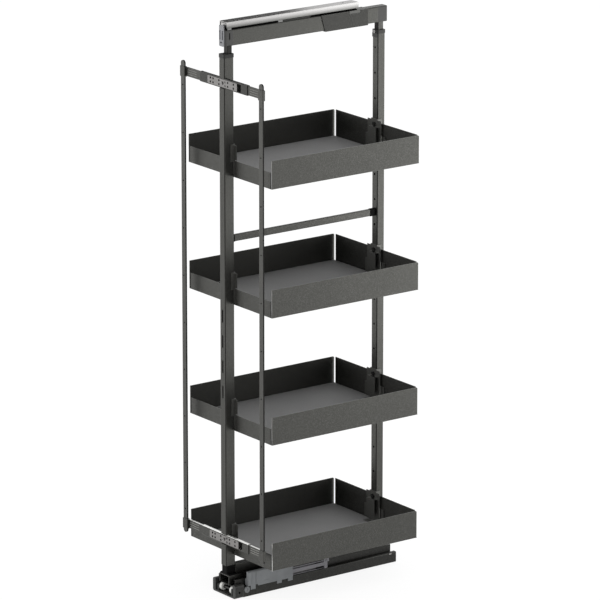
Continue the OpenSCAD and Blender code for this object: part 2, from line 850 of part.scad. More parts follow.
// Collar on a post's end that guides the inner tube, with a plug inside the post
module collar(y, d, inner_y, inner_d) {
    inset = 2 * (post_t + seat_gap);
    difference() {
        union() {
            translate([0, y, post_top]) linear_extrude(collar_h)
                rounded(post_w + 2 * collar_wall, d + 2 * collar_wall, post_r + collar_wall);
            translate([0, y, post_top - collar_plug]) linear_extrude(collar_plug + cut)
                rounded(post_w - inset, d - inset, max(post_r - post_t, 0.3));
        }
        translate([0, inner_y, post_top - collar_plug - cut]) linear_extrude(collar_plug + collar_h + 2 * cut)
            square([inner_w + 2 * slide_gap, inner_d + 2 * slide_gap], center = true);
    }
}

module front_collar() {
    color(block_grey) difference() {
        collar(front_mid_y, front_post_d, (inner_front_y0 + inner_front_y1) / 2, inner_front_d);
        rod_y(inner_front_y1, front_face + collar_wall + cut, 0, collar_screw_z, screw_r + seat_gap);
    }
}

module rear_collar() {
    color(block_grey) difference() {
        collar(rear_mid_y, rear_post_d, (inner_rear_y0 + inner_rear_y1) / 2, inner_rear_d);
        rod_y(rear_face - collar_wall - cut, inner_rear_y0, 0, collar_screw_z, screw_r + seat_gap);
    }
}

// Pan-head screws: one clamps each collar on its inner tube, one holds each perforated plate
screw_r = 2.4;
screw_head_r = 4;
screw_head_t = 2.6;
screw_cross = [4.4, 0.9];
tip_gap = 0.15;
collar_screw_z = post_top + collar_h / 2;

module pan_screw(y_seat, y_tip, z) {
    way = sign(y_tip - y_seat);
    head = y_seat - way * screw_head_t;
    difference() {
        union() {
            rod_y(min(y_seat, y_tip), max(y_seat, y_tip), 0, z, screw_r);
            rod_y(min(y_seat, head), max(y_seat, head), 0, z, screw_head_r);
        }
        for (bar = [screw_cross, [screw_cross[1], screw_cross[0]]])
            block([-bar[0] / 2, head - cut, z - bar[1] / 2], [bar[0] / 2, head + cut, z + bar[1] / 2]);
    }
}

module clamp_screws() {
    color(zinc) {
        pan_screw(front_face + collar_wall, inner_front_y1 + tip_gap, collar_screw_z);
        pan_screw(rear_face - collar_wall, inner_rear_y0 - tip_gap, collar_screw_z);
        for (z = cross_zs)
            pan_screw(plate_y0, notch_y1 - press_gap, z);
    }
}

bar_wall = 1.5;
bar_r = 1.5;
bar_lap = 3;

module mid_bar() {
    z = mid_bar_z + mid_bar_h / 2;
    color(anthracite) along_y(front_face + bar_lap, rear_face - bar_lap) translate([0, z])
        difference() {
            rounded(mid_bar_w, mid_bar_h, bar_r);
            rounded(mid_bar_w - 2 * bar_wall, mid_bar_h - 2 * bar_wall, bar_r / 3);
        }
}

// Plastic shoes that hold the middle bar on the posts
module mid_bar_clips() {
    front_l = 6;
    rear_l = 16;
    wall = 1;
    z = mid_bar_z + mid_bar_h / 2;
    color(black_plastic) difference() {
        for (span = [[front_face, front_face + front_l], [rear_face - rear_l, rear_face]])
            along_y(span[0], span[1]) translate([0, z])
                rounded(mid_bar_w + 2 * wall, mid_bar_h + 2 * wall, bar_r + wall);
        along_y(front_face + bar_lap - seat_gap, rear_face - bar_lap + seat_gap) translate([0, z])
            rounded(mid_bar_w + 2 * seat_gap, mid_bar_h + 2 * seat_gap, bar_r);
    }
}

// Shoulder pins in the posts that carry the trays
pin_head_r = 5;
pin_head_t = 3;
hanger_gap = 0.4;
pin_neck = hanger_gap + hanger_t + slide_gap;

module tray_pins() {
    depth = post_t + 0.7;
    overlap = 1;
    color(dark_steel) for (i = [0 : len(TRAYS) - 1]) {
        z = tray_z + i * tray_pitch + pin_up;
        rod_y(front_face - depth, front_face + pin_neck + overlap, 0, z, pin_r);
        rod_y(front_face + pin_neck, front_face + pin_neck + pin_head_t, 0, z, pin_head_r);
        rod_y(rear_face - pin_neck - overlap, rear_face + depth, 0, z, pin_r);
        rod_y(rear_face - pin_neck - pin_head_t, rear_face - pin_neck, 0, z, pin_head_r);
    }
}

// Perforated plates in the crossbars, each with the boss that stands on its post's notch
module door_plates() {
    hole_shares = [-0.4, -0.31, -0.11, 0.1, 0.19, 0.38];
    hole_r = 2.8;
    corner = 3;
    lap = 0.5;
    row = plate_h / 4;
    plate_y1 = plate_y0 + plate_t;
    color(zinc) difference() {
        for (z = cross_zs) {
            translate([plate_x, 0, z]) along_y(plate_y0, plate_y1) rounded(plate_l, plate_h, corner);
            block([-boss_w / 2, plate_y1 - lap, z - boss_h / 2], [boss_w / 2, notch_y0, z + boss_h / 2]);
        }
        for (z = cross_zs) {
            rod_y(plate_y0 - cut, notch_y0 + cut, 0, z, screw_r + seat_gap);
            for (share = hole_shares, s = [-1, 1])
                rod_y(plate_y0 - cut, plate_y1 + cut, plate_x + share * plate_l, z + s * row, hole_r);
        }
    }
}

// TELESCOPIC TOP

module inner_tube(y0, d) {
    corner = 1.5;
    post_tube(inner_w, d, inner_t, corner, y0 + d / 2, beam2_z - inner_l, beam2_z + inner_seat);
}

module front_inner_tube() {
    color(anthracite) inner_tube(inner_front_y0, inner_front_d);
}

module rear_inner_tube() {
    color(anthracite) inner_tube(inner_rear_y0, inner_rear_d);
}

module top_beam() {
    color(anthracite) along_y(block_front_y1, block_rear_y0) translate([0, beam2_z + top_beam_h / 2])
        difference() {
            rounded(post_w, top_beam_h, post_r);
            rounded(post_w - 2 * top_beam_t, top_beam_h - 2 * top_beam_t, max(post_r - top_beam_t, 0.3));
        }
}

// Open-topped sleeve on the beam's rear half, with a slanted front edge, a slanted seam and a pocket
module top_sleeve() {
    half = post_w / 2 + seat_gap + sleeve_t;
    low = beam2_z - seat_gap - sleeve_t;
    seam_y = sleeve_y1 - 56;
    seam_w = 1;
    seam_depth = 0.8;
    pocket_l = 34;
    pocket_h = 8;
    pocket_depth = 1.2;
    seam_slant = 0.7 * sleeve_slant;
    slant = sleeve_slant / (beam2_top - low);
    color(anthracite) difference() {
        along_y(sleeve_y0, sleeve_y1) difference() {
            translate([-half, low]) square([2 * half, beam2_top - low]);
            translate([sleeve_t - half, low + sleeve_t]) square([2 * (half - sleeve_t), beam2_top - low]);
        }
        along_x(-half - cut, half + cut) polygon([
            [sleeve_y0 - cut, beam2_top + cut], [sleeve_y0 - slant * cut, beam2_top + cut],
            [sleeve_y0 + sleeve_slant + slant * cut, low - cut], [sleeve_y0 - cut, low - cut]
        ]);
        both_sides() {
            along_x(half - seam_depth, half + cut) polygon([
                [seam_y, beam2_top - pocket_h], [seam_y + seam_w, beam2_top - pocket_h],
                [seam_y + seam_w + seam_slant, low + sleeve_t], [seam_y + seam_slant, low + sleeve_t]
            ]);
            block([half - pocket_depth, seam_y, beam2_top - pocket_h],
                  [half + cut, seam_y + pocket_l, beam2_top + cut]);
        }
    }
}

// Blocks at the ends of the top beam that take the inner tubes, with plugs inside the beam
module top_end_blocks() {
    plug_l = 18;
    plug_play = 2 * (top_beam_t + seat_gap);
    slit = [3, 16];
    slit_depth = 2.4;
    slit_back = 13;
    nose_r = 5;
    z = beam2_z + top_beam_h / 2;
    color(block_grey) difference() {
        union() {
            intersection() {
                along_y(block_front_y0, block_front_y1) translate([0, z]) rounded(post_w, top_beam_h, post_r);
                translate([0, block_front_y1, beam2_z - cut]) linear_extrude(top_beam_h + 2 * cut)
                    rounded(post_w, 2 * end_block_l, nose_r);
            }
            along_y(block_rear_y0, block_rear_y1) translate([0, z]) rounded(post_w, top_beam_h, post_r);
            for (y0 = [block_front_y1, block_rear_y0 - plug_l])
                along_y(y0, y0 + plug_l) translate([0, z])
                    rounded(post_w - plug_play, top_beam_h - plug_play, max(post_r - top_beam_t, 0.3));
        }
        for (span = [[inner_front_y0, inner_front_y1], [inner_rear_y0, inner_rear_y1]])
            block([-inner_w / 2 - seat_gap, span[0] - seat_gap, beam2_z - cut],
                  [inner_w / 2 + seat_gap, span[1] + seat_gap, beam2_z + inner_seat]);
        along_x(post_w / 2 - slit_depth, post_w / 2 + cut)
            translate([block_front_y0 + slit_back, z - slit[1] / 4]) square(slit);
    }
}

// Pale clip on the front of the top beam, with two sunk bars and a small oval under them
module top_clip() {
    depth = 3;
    height = 52;
    corner = 3;
    margin = 1.3;
    rib_half = 3;
    panel = [16, 39];
    panel_depth = 1.5;
    oval = [5.6, 3.4];
    oval_up = 9.4;
    y1 = block_front_y0;
    y0 = y1 - depth;
    color(clip_grey) difference() {
        along_y(y0, y1) translate([0, beam2_z + height / 2]) rounded(clip_w, height, corner);
        both_sides()
            block([rib_half, y0 - cut, beam2_z + panel[0]],
                  [clip_w / 2 - margin, y0 + panel_depth, beam2_z + panel[1]]);
        along_y(y0 - cut, y0 + panel_depth) translate([0, beam2_z + oval_up]) {
            square(oval, center = true);
            for (s = [-1, 1])
                translate([s * oval[0] / 2, 0]) circle(oval[1] / 2);
        }
    }
}

// TOP GUIDE

// The three profiles nest: each one's walls follow from the profile around it
guide_in = guide_w / 2 - guide_t;
mid_half = guide_in - guide_gap;
mid_z0 = guide_z + guide_t + guide_gap;
mid_z1 = guide_top - guide_t - guide_gap;
head_half = mid_half - guide_t - guide_gap;
head_z0 = mid_z0 + guide_t + guide_gap;
head_z1 = mid_z1 - guide_t - guide_gap;
guide_back = 1;
stem_half = 5;
way_half = stem_half + 3 * guide_gap;
access_r = 4;

module guide_holes(r, z0, z1) {
    for (s = [-1, 1])
        translate([0, guide_mid_y + s * guide_screw_dy / 2, z0]) cylinder(r = r, h = z1 - z0);
}

module channel_profile(half, z0, z1, lip_half) {
    difference() {
        translate([-half, z0]) square([2 * half, z1 - z0]);
        translate([-half + guide_t, z0 + guide_t]) square([2 * (half - guide_t), z1 - z0 - 2 * guide_t]);
        translate([-lip_half, z0 - cut]) square([2 * lip_half, (z1 - z0) / 2]);
    }
}

module top_guide_inner() {
    foot_half = 9;
    foot_t = 2;
    color(zinc) difference() {
        along_y(guide_y0 + guide_back, guide_y1) {
            translate([-foot_half, beam2_top]) square([2 * foot_half, foot_t]);
            translate([-stem_half, beam2_top]) square([2 * stem_half, head_z1 - beam2_top]);
            translate([-head_half, head_z0]) square([2 * head_half, head_z1 - head_z0]);
        }
        guide_holes(access_r, beam2_top - cut, head_z1 + cut);
    }
}

module top_guide_middle() {
    color(zinc) difference() {
        along_y(guide_y0 + guide_back, guide_y1) channel_profile(mid_half, mid_z0, mid_z1, way_half);
        guide_holes(access_r, mid_z1 - guide_t - cut, mid_z1 + cut);
    }
}

module top_guide_rail() {
    color(zinc) difference() {
        along_y(guide_y0, guide_y1) channel_profile(guide_w / 2, guide_z, guide_top, way_half);
        guide_holes(guide_hole_r, guide_top - guide_t - cut, guide_top + cut);
    }
}

// DOOR FRAME

// Crossbar sleeve: a flat tube with a front window for the plate and a rear window for its boss
module door_sleeve(z) {
    corner = 1.8;
    stop_gap = 0.5;
    x0 = cross_x - cross_l / 2;
    window_x0 = plate_x - plate_l / 2 - stop_gap;
    window_x1 = plate_x + plate_l / 2 + door_travel + stop_gap;
    window_half = plate_h / 2 + slide_gap;
    boss_x0 = -boss_w / 2 - stop_gap;
    boss_x1 = boss_w / 2 + door_travel + stop_gap;
    boss_room = boss_h / 2 + slide_gap;
    through = cross_t + stop_gap;
    color(anthracite) difference() {
        translate([0, 0, z]) along_x(x0, x0 + cross_l) translate([cross_y0 + cross_d / 2, 0]) difference() {
            rounded(cross_d, cross_h, corner);
            rounded(cross_d - 2 * cross_t, cross_h - 2 * cross_t, corner / 3);
        }
        block([window_x0, cross_y0 - cut, z - window_half], [window_x1, cross_y0 + through, z + window_half]);
        block([boss_x0, cross_y1 - through, z - boss_room], [boss_x1, cross_y1 + cut, z + boss_room]);
    }
}

module door_sleeve_top() {
    door_sleeve(cross_zs[1]);
}

module door_sleeve_bottom() {
    door_sleeve(cross_zs[0]);
}

// Flat strip with round ends and a row of screw holes
module strip() {
    run = strip_l - strip_w;
    mid = strip_z + strip_l / 2;
    first = mid - strip_hole_dz * (strip_holes - 1) / 2;
    color(anthracite) difference() {
        along_y(strip_y0, strip_y0 + strip_t) translate([strip_x, mid]) {
            square([strip_w, run], center = true);
            for (s = [-1, 1])
                translate([0, s * run / 2]) circle(strip_w / 2);
        }
        for (i = [0 : strip_holes - 1])
            rod_y(strip_y0 - cut, strip_y0 + strip_t + cut, strip_x, first + i * strip_hole_dz, strip_hole_r);
    }
}

// Arms that slide in the sleeves, with grooves beside the clips
module arms(inner_x) {
    groove_l = 40;
    groove_w = 1.4;
    groove_depth = 0.6;
    groove_pitch = 5.6;
    groove_x1 = clip_x0 - 3;
    color(anthracite) for (z = cross_zs) difference() {
        block([inner_x, arm_y0, z - arm_h / 2], [arm_x1, arm_y0 + arm_d, z + arm_h / 2]);
        for (i = [-1, 0, 1])
            translate([groove_x1 - groove_l, arm_y0 - cut, z + i * groove_pitch - groove_w / 2])
                cube([groove_l, groove_depth + cut, groove_w]);
    }
}

// Clips that hold the strips on the arms
module clips() {
    corner = 1.6;
    y0 = strip_y0 - clip_wall;
    y1 = arm_y0 + arm_d / 2;
    half_w = strip_w / 2 + seat_gap;
    half_arm = arm_h / 2 + seat_gap;
    color(anthracite) for (z = cross_zs) difference() {
        translate([strip_x, (y0 + y1) / 2, z - cross_h / 2]) linear_extrude(cross_h)
            rounded(clip_x1 - clip_x0, y1 - y0, corner);
        block([strip_x - half_w, strip_y0 - seat_gap, z - cross_h],
              [strip_x + half_w, strip_y0 + strip_t + seat_gap, z + cross_h]);
        block([clip_x0 - cut, arm_y0 - seat_gap, z - half_arm],
              [arm_x1 + seat_gap, arm_y0 + arm_d + seat_gap, z + half_arm]);
    }
}

// At rest the arms stop short of the plate's window
arm_room = 2;
right_arm_x = plate_x + plate_l / 2 + door_travel + arm_in + arm_room;
left_arm_x = plate_l / 2 - plate_x + arm_in + arm_room;

module right_strip() {
    strip();
}

module right_arms() {
    arms(right_arm_x);
}

module right_clips() {
    clips();
}

module left_strip() {
    mirror([1, 0, 0]) strip();
}

module left_arms() {
    mirror([1, 0, 0]) arms(left_arm_x);
}

module left_clips() {
    mirror([1, 0, 0]) clips();
}

// TRAYS

// Half width of the cut-outs around the posts and their hangers, and the hangers' reach over the tray
notch_play = 0.7;
post_notch = post_w / 2 + hanger_gap + hanger_t + notch_play;
foot_reach = 22;
ear_reach = 40;
flange_reach = 11.5;
front_wing = 20;
rear_wing = 27;

// Folded sheet tray: floor, two side panels, low front panel and rear panel, with open corners
module tray(n) {
    half = tray_w / 2;
    corner = 4;
    rear_slit = tray_slit + tray_t;
    side_y1 = tray_y1 - tray_t / 2;
    notch_in = post_in + hanger_gap;
    color(anthracite) translate([0, 0, tray_z + (n - 1) * tray_pitch]) difference() {
        union() {
            block([-half, tray_y0, 0], [half, tray_y1, tray_t]);
            both_sides() along_x(half - tray_t, half) {
                translate([tray_y0, 0]) square([side_y1 - corner - tray_y0, tray_h]);
                translate([tray_y0, 0]) square([side_y1 - tray_y0, tray_h - corner]);
                translate([side_y1 - corner, tray_h - corner]) circle(corner);
            }
            block([-half + tray_slit, tray_y0, 0], [half - tray_slit, tray_y0 + tray_t, tray_front_h]);
            block([-half + rear_slit, tray_y1 - tray_t, 0], [half - rear_slit, tray_y1, tray_h]);
        }
        block([-post_notch, tray_y0 - cut, -cut], [post_notch, tray_y0 + notch_in, tray_h + cut]);
        block([-post_notch, tray_y1 - notch_in, -cut], [post_notch, tray_y1 + cut, tray_h + cut]);
        for (y = [tray_y0, tray_y1 - tray_t])
            block([-panel_gap, y - cut, tray_t], [panel_gap, y + tray_t + cut, tray_h + cut]);
    }
}

// Loose mat on the tray floor, cut out around the hangers
module mat(n) {
    play = 2;
    room = 1;
    half = tray_w / 2 - tray_t - play;
    y0 = tray_y0 + tray_t + play;
    y1 = tray_y1 - tray_t - play;
    foot_half = post_notch + room;
    foot_cut = foot_reach + post_in + room;
    ear_half = ear_reach + 2 * room;
    ear_cut = tray_t + hanger_t + room;
    z = tray_z + (n - 1) * tray_pitch + tray_t;
    color(mat_grey) translate([0, 0, z]) linear_extrude(mat_t) difference() {
        translate([-half, y0]) square([2 * half, y1 - y0]);
        translate([-foot_half, tray_y0]) square([2 * foot_half, foot_cut]);
        translate([-foot_half, tray_y1 - foot_cut]) square([2 * foot_half, foot_cut]);
        translate([-ear_half, tray_y0]) square([2 * ear_half, ear_cut]);
        translate([-ear_half, tray_y1 - ear_cut]) square([2 * ear_half, ear_cut]);
    }
}

// Hanger: a folded bracket round the post, with a keyhole for the pin, drawn for a post face at y = 0
module hanger(wing_reach, cover) {
    inside = post_w / 2 + hanger_gap;
    outside = inside + hanger_t;
    web = [hanger_gap, hanger_gap + hanger_t];
    ear_y = tray_t - post_in + seat_gap;
    ear_z = [tray_t + 3, tray_front_h - 3];
    ear_x = panel_gap + 2;
    strap_h = 8;
    flange_z = tray_front_h - 4;
    wing_z = [tray_front_h, hanger_h - 3];
    lip_z = pin_up - 8;
    lip_half = outside + 3;
    cover_z = 20;
    cover_y = pin_neck + pin_head_t + 1;
    cover_end = cover_y + 2 * hanger_t;
    slot_half = pin_r + roll_gap;
    wide_r = pin_head_r + 2 * roll_gap;
    difference() {
        union() {
            block([-outside, web[0], tray_t], [outside, web[1], hanger_h]);
            block([-wing_reach, web[0], wing_z[0]], [wing_reach, web[1], wing_z[1]]);
            both_sides() {
                block([inside, -flange_reach, flange_z], [outside, web[1], hanger_h]);
                block([inside, ear_y, tray_t], [outside, web[1], hanger_h]);
                block([inside, ear_y, ear_z[0]], [ear_reach, ear_y + hanger_t, ear_z[0] + strap_h]);
                block([ear_x, ear_y, ear_z[0]], [ear_reach, ear_y + hanger_t, ear_z[1]]);
            }
            block([-outside, web[0], tray_t], [outside, foot_reach, tray_t + hanger_t]);
            if (cover) {
                block([-lip_half, web[0], lip_z], [lip_half, cover_end, lip_z + hanger_t]);
                block([-lip_half, cover_end - hanger_t, cover_z], [lip_half, cover_end, lip_z + hanger_t]);
            }
        }
        rod_y(web[0] - cut, web[1] + cut, 0, pin_up, slot_half);
        block([-slot_half, web[0] - cut, pin_up - tray_lift], [slot_half, web[1] + cut, pin_up]);
        rod_y(web[0] - cut, web[1] + cut, 0, pin_up - tray_lift, wide_r);
        if (cover)
            block([-wide_r, web[1], lip_z - cut], [wide_r, cover_y, lip_z + hanger_t + cut]);
    }
}

module hangers(n) {
    color(anthracite) translate([0, 0, tray_z + (n - 1) * tray_pitch]) {
        translate([0, front_face, 0]) hanger(front_wing, false);
        translate([0, rear_face, 0]) mirror([0, 1, 0]) hanger(rear_wing, true);
    }
}

base_rail();
base_front_cap();
front_roller_axle();
front_rollers();
side_adjuster();
soft_close_housing();
soft_close_track();
damper_cylinder();
closing_spring();
soft_close_catch();
damper_rod();
middle_runner();
runner_axle();
runner_rollers();
runner_glide();
lower_beam();
beam_axle();
beam_rollers();
soft_close_activator();
front_foot();
rear_foot();
front_post();
rear_post();
front_collar();
rear_collar();
clamp_screws();
mid_bar();
mid_bar_clips();
tray_pins();
door_plates();
front_inner_tube();
rear_inner_tube();
top_beam();
top_sleeve();
top_end_blocks();
top_clip();
top_guide_inner();
top_guide_middle();
top_guide_rail();
door_sleeve_top();
door_sleeve_bottom();
left_strip();
left_arms();
left_clips();
right_strip();
right_arms();
right_clips();
for (n = TRAYS) {
    tray(n);
    mat(n);
    hangers(n);
}
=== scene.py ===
# %% [markdown]
# Pull-out pantry frame, dressed for its photograph.
# The imported solids already have the true sizes, so they come in first as a fixed frame that nothing
# below moves or reshapes. They could be modelled again here, but then looks and construction would drift
# apart. Their boxes are read to place the added pieces.

import json
import math

import bmesh
import bpy
from mathutils import Matrix, Vector


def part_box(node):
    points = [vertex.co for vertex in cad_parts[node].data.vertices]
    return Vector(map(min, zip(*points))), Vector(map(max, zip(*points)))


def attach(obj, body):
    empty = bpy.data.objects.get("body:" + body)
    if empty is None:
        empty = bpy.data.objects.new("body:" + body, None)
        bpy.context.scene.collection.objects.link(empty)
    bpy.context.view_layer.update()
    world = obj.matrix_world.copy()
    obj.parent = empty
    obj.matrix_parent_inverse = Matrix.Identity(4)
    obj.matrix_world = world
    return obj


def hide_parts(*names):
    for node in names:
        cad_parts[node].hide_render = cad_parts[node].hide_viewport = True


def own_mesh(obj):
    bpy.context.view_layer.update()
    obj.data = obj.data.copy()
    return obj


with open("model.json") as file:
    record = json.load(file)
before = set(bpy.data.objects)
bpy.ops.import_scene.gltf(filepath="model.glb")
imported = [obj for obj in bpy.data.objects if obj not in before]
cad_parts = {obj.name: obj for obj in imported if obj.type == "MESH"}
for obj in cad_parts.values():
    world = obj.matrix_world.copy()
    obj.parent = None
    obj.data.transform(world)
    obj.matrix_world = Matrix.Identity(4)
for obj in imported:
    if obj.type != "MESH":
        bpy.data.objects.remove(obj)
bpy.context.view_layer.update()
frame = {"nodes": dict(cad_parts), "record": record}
nodes = frame["nodes"]

# %% [markdown]
# The photograph was taken from far away with a long lens, so upright edges stay almost parallel.
# The angle, distance and lens were solved from the straight edges of the trays and posts. A camera
# could be aimed with a Track To constraint, but a rotation worked out once stays put in every view.

# %% Camera
AIM = Vector((-0.0157, -0.0047, 0.7112))
AZIMUTH = math.radians(53.648)
ELEVATION = math.radians(15.473)
DISTANCE = 12.722
LENS_MM = 310.1
SENSOR_MM = 36

away = Vector((
    math.sin(AZIMUTH) * math.cos(ELEVATION),
    -math.cos(AZIMUTH) * math.cos(ELEVATION),
    math.sin(ELEVATION),
))
camera_data = bpy.data.cameras.new("photo_camera")
camera_data.lens = LENS_MM
camera_data.sensor_width = SENSOR_MM
camera = bpy.data.objects.new("photo_camera", camera_data)
camera.location = AIM + DISTANCE * away
camera.rotation_euler = (-away).to_track_quat("-Z", "Y").to_euler()
bpy.context.scene.collection.objects.link(camera)
bpy.context.scene.camera = camera
bpy.context.scene.view_settings.view_transform = "Standard"
print("camera at", [round(x, 3) for x in camera.location])

# %% [markdown]
# Every finish below is a small node tree, so a few helpers keep those trees short. One starts a material
# and hands back its tree and its Principled shader, the others add nodes and fill their sockets. The same
# trees could be drawn by hand in the shader editor, but a script repeats them exactly.
# Patterns read Object coordinates in metres, so a grain of 1 mm is a noise scale of about 1000.

# %% Helpers for node trees
def start_material(name):
    material = bpy.data.materials.new(name)
    material.use_nodes = True
    tree = material.node_tree
    return material, tree, tree.nodes["Principled BSDF"]


def add_node(tree, kind, settings=None, **inputs):
    node = tree.nodes.new(kind)
    for key, value in (settings or {}).items():
        setattr(node, key, value)
    for key, value in inputs.items():
        fill(tree, node.inputs[key.replace("_", " ")], value)
    return node


def fill(tree, socket, value):
    if isinstance(value, bpy.types.NodeSocket):
        tree.links.new(value, socket)
    else:
        socket.default_value = value


def maths(tree, operation, *values):
    node = add_node(tree, "ShaderNodeMath", {"operation": operation})
    for socket, value in zip(node.inputs, values):
        fill(tree, socket, value)
    return node.outputs[0]


def spread(tree, value, low, high, to_low, to_high):
    return add_node(tree, "ShaderNodeMapRange", Value=value, From_Min=low, From_Max=high,
                    To_Min=to_low, To_Max=to_high).outputs["Result"]


print("helpers ready")

# %% [markdown]
# The floor is a wide pale disc under the rail. A bright picture behind the object could come from more
# lamps, but that would wash out the paint. Here the floor is white where the camera, a gloss or a clear
# piece looks straight at it, and keeps a share of its own shading, so a soft shadow stays on it.

# %% Floor
FLOOR_RADIUS = 40.0
FLOOR_SIDES = 96
FLOOR_DROP = 0.0005
FLOOR_PALE = (0.9, 0.9, 0.9)
FLOOR_ROUGHNESS = 0.9
FLOOR_WHITE_SHARE = 0.8
FLOOR_WHITE = 1.1


def looked_at(tree):
    path = add_node(tree, "ShaderNodeLightPath").outputs
    gloss_or_clear = maths(tree, "MAXIMUM", path["Is Glossy Ray"], path["Is Transmission Ray"])
    return maths(tree, "MAXIMUM", path["Is Camera Ray"], gloss_or_clear)


floor_mesh = bpy.data.meshes.new("floor")
bm = bmesh.new()
bmesh.ops.create_circle(bm, cap_ends=True, segments=FLOOR_SIDES, radius=FLOOR_RADIUS)
bmesh.ops.translate(bm, verts=bm.verts, vec=(0, 0, -FLOOR_DROP))
bm.to_mesh(floor_mesh)
bm.free()
floor = bpy.data.objects.new("floor", floor_mesh)
bpy.context.scene.collection.objects.link(floor)

floor_finish, tree, shader = start_material("pale_floor")
shader.inputs["Base Color"].default_value = (*FLOOR_PALE, 1)
shader.inputs["Roughness"].default_value = FLOOR_ROUGHNESS
white = add_node(tree, "ShaderNodeEmission", Color=(1, 1, 1, 1), Strength=FLOOR_WHITE)
blend = add_node(tree, "ShaderNodeMixShader")
tree.links.new(spread(tree, looked_at(tree), 0.0, 1.0, 0.0, FLOOR_WHITE_SHARE), blend.inputs[0])
tree.links.new(shader.outputs[0], blend.inputs[1])
tree.links.new(white.outputs[0], blend.inputs[2])
tree.links.new(blend.outputs[0], tree.nodes["Material Output"].inputs["Surface"])
floor_mesh.materials.append(floor_finish)
print("floor ready")

# %% [markdown]
# The world is an even white, as in a light tent. A picture of a studio could light it too, but would put
# windows into every gloss. Like the floor, the tent is white where it is looked at and dimmer as a light.

# %% Light tent
TENT_LIGHT = 0.8

world = bpy.data.worlds.new("light_tent")
world.use_nodes = True
bpy.context.scene.world = world
tree = world.node_tree
background = tree.nodes["Background"]
background.inputs["Color"].default_value = (1, 1, 1, 1)
tree.links.new(spread(tree, looked_at(tree), 0.0, 1.0, TENT_LIGHT, 1.0), background.inputs["Strength"])
print("tent ready")

# %% [markdown]
# In the photograph the right sides of trays and beam brighten steadily towards the rear, and all faces
# that look at the door are evenly lit. So one soft box stands on the floor at the right rear, where those
# sides mirror it, and a wider one at the front left. Point lamps would leave hard spots on the metal.

# %% Soft boxes
def soft_box(name, place, target, size, watts):
    data = bpy.data.lights.new(name, "AREA")
    data.shape = "RECTANGLE"
    data.size, data.size_y = size
    data.energy = watts
    lamp = bpy.data.objects.new(name, data)
    lamp.location = place
    lamp.rotation_euler = (Vector(target) - Vector(place)).to_track_quat("-Z", "Y").to_euler()
    lamp.visible_camera = False
    bpy.context.scene.collection.objects.link(lamp)


soft_box("door_side_box", place=(-7.0, -5.5, 2.3), target=(0, 0, 1.2), size=(6.0, 4.2), watts=165)
soft_box("rear_side_box", place=(1.1, 1.25, 0.66), target=(0.1, 0.1, 0.62), size=(0.8, 1.28), watts=7.5)
print("two soft boxes")

# %% [markdown]
# The top of the guide mirrors the room at a flat angle: in the photograph it is dark at the front and
# white at the rear. A gradient in the finish could copy that, but it would stay put when the view turns.
# So, as a photographer would, a black card stands behind the object, where only the front half of the
# guide mirrors it. It shows in reflections alone and casts no shadow.

# %% Black card
CARD_LONG = 0.9
CARD_TALL = 0.7
CARD_MIDDLE = (-0.8, 0.12, 1.9)

bm = bmesh.new()
card_verts = bmesh.ops.create_grid(bm, x_segments=1, y_segments=1, size=0.5)["verts"]
bmesh.ops.scale(bm, verts=card_verts, vec=(CARD_TALL, CARD_LONG, 1))
bmesh.ops.rotate(bm, verts=card_verts, cent=(0, 0, 0), matrix=Matrix.Rotation(math.radians(90), 3, "Y"))
bmesh.ops.translate(bm, verts=card_verts, vec=CARD_MIDDLE)
card_mesh = bpy.data.meshes.new("black_card")
bm.to_mesh(card_mesh)
bm.free()
card_paint, _, card_shader = start_material("card_black")
card_shader.inputs["Base Color"].default_value = (0.0, 0.0, 0.0, 1.0)
card_shader.inputs["Specular IOR Level"].default_value = 0.0
card_mesh.materials.append(card_paint)
card = bpy.data.objects.new("black_card", card_mesh)
bpy.context.scene.collection.objects.link(card)
card.visible_camera = card.visible_diffuse = card.visible_shadow = card.visible_transmission = False
print("one black card")

# %% [markdown]
# All finishes share a few patterns: noise in Object coordinates, more contrast, an uneven roughness, two
# tints and a bump. Node groups could hold them, but short functions are easier to read side by side.

# %% Helpers for patterns
NOISE_LOW, NOISE_HIGH = 0.3, 0.7


def object_coordinates(tree):
    return add_node(tree, "ShaderNodeTexCoord").outputs["Object"]


def noise(tree, place, scale, detail=2.0, roughness=0.5):
    return add_node(tree, "ShaderNodeTexNoise", Vector=place, Scale=scale, Detail=detail,
                    Roughness=roughness).outputs["Fac"]


def contrast(tree, value, low=NOISE_LOW, high=NOISE_HIGH):
    return spread(tree, value, low, high, 0.0, 1.0)


def uneven(tree, value, middle, swing):
    return spread(tree, value, NOISE_LOW, NOISE_HIGH, middle - swing, middle + swing)


def tint(tree, factor, colour_a, colour_b):
    mix = add_node(tree, "ShaderNodeMix", {"data_type": "RGBA"})
    for index, value in ((0, factor), (6, colour_a), (7, colour_b)):
        fill(tree, mix.inputs[index], (*value, 1) if isinstance(value, tuple) else value)
    return mix.outputs[2]


def darker(colour, share):
    return tuple(share * c for c in colour)


def set_bump(tree, shader, height, depth_mm, strength):
    bump = add_node(tree, "ShaderNodeBump", Height=height, Strength=strength, Distance=depth_mm / 1000)
    tree.links.new(bump.outputs["Normal"], shader.inputs["Normal"])


print("pattern helpers ready")

# %% [markdown]
# Posts, beams and trays carry an anthracite powder coat with metal flakes in it: the outside of a tray is
# mid grey, while its inside, which mirrors only dark walls, is almost black. A dark matt paint would
# make both alike, so the coat is a rough metal. Close up it is a fine orange peel with bright specks. Along
# every edge the colour is painted lighter, partly as wear where the coat is thin over the metal and partly
# as a painted highlight: a Bevel node finds those edges, because its rounded normal leaves the true one
# there.

# %% Powder coat
EDGE_MM = 0.7
EDGE_SAMPLES = 4
EDGE_FULL, EDGE_NONE = 0.78, 0.98
PEEL_SCALE = 420.0
PEEL_MM = 0.05
SPECK_SCALE = 900.0
CLOUD_SCALE = 5.0


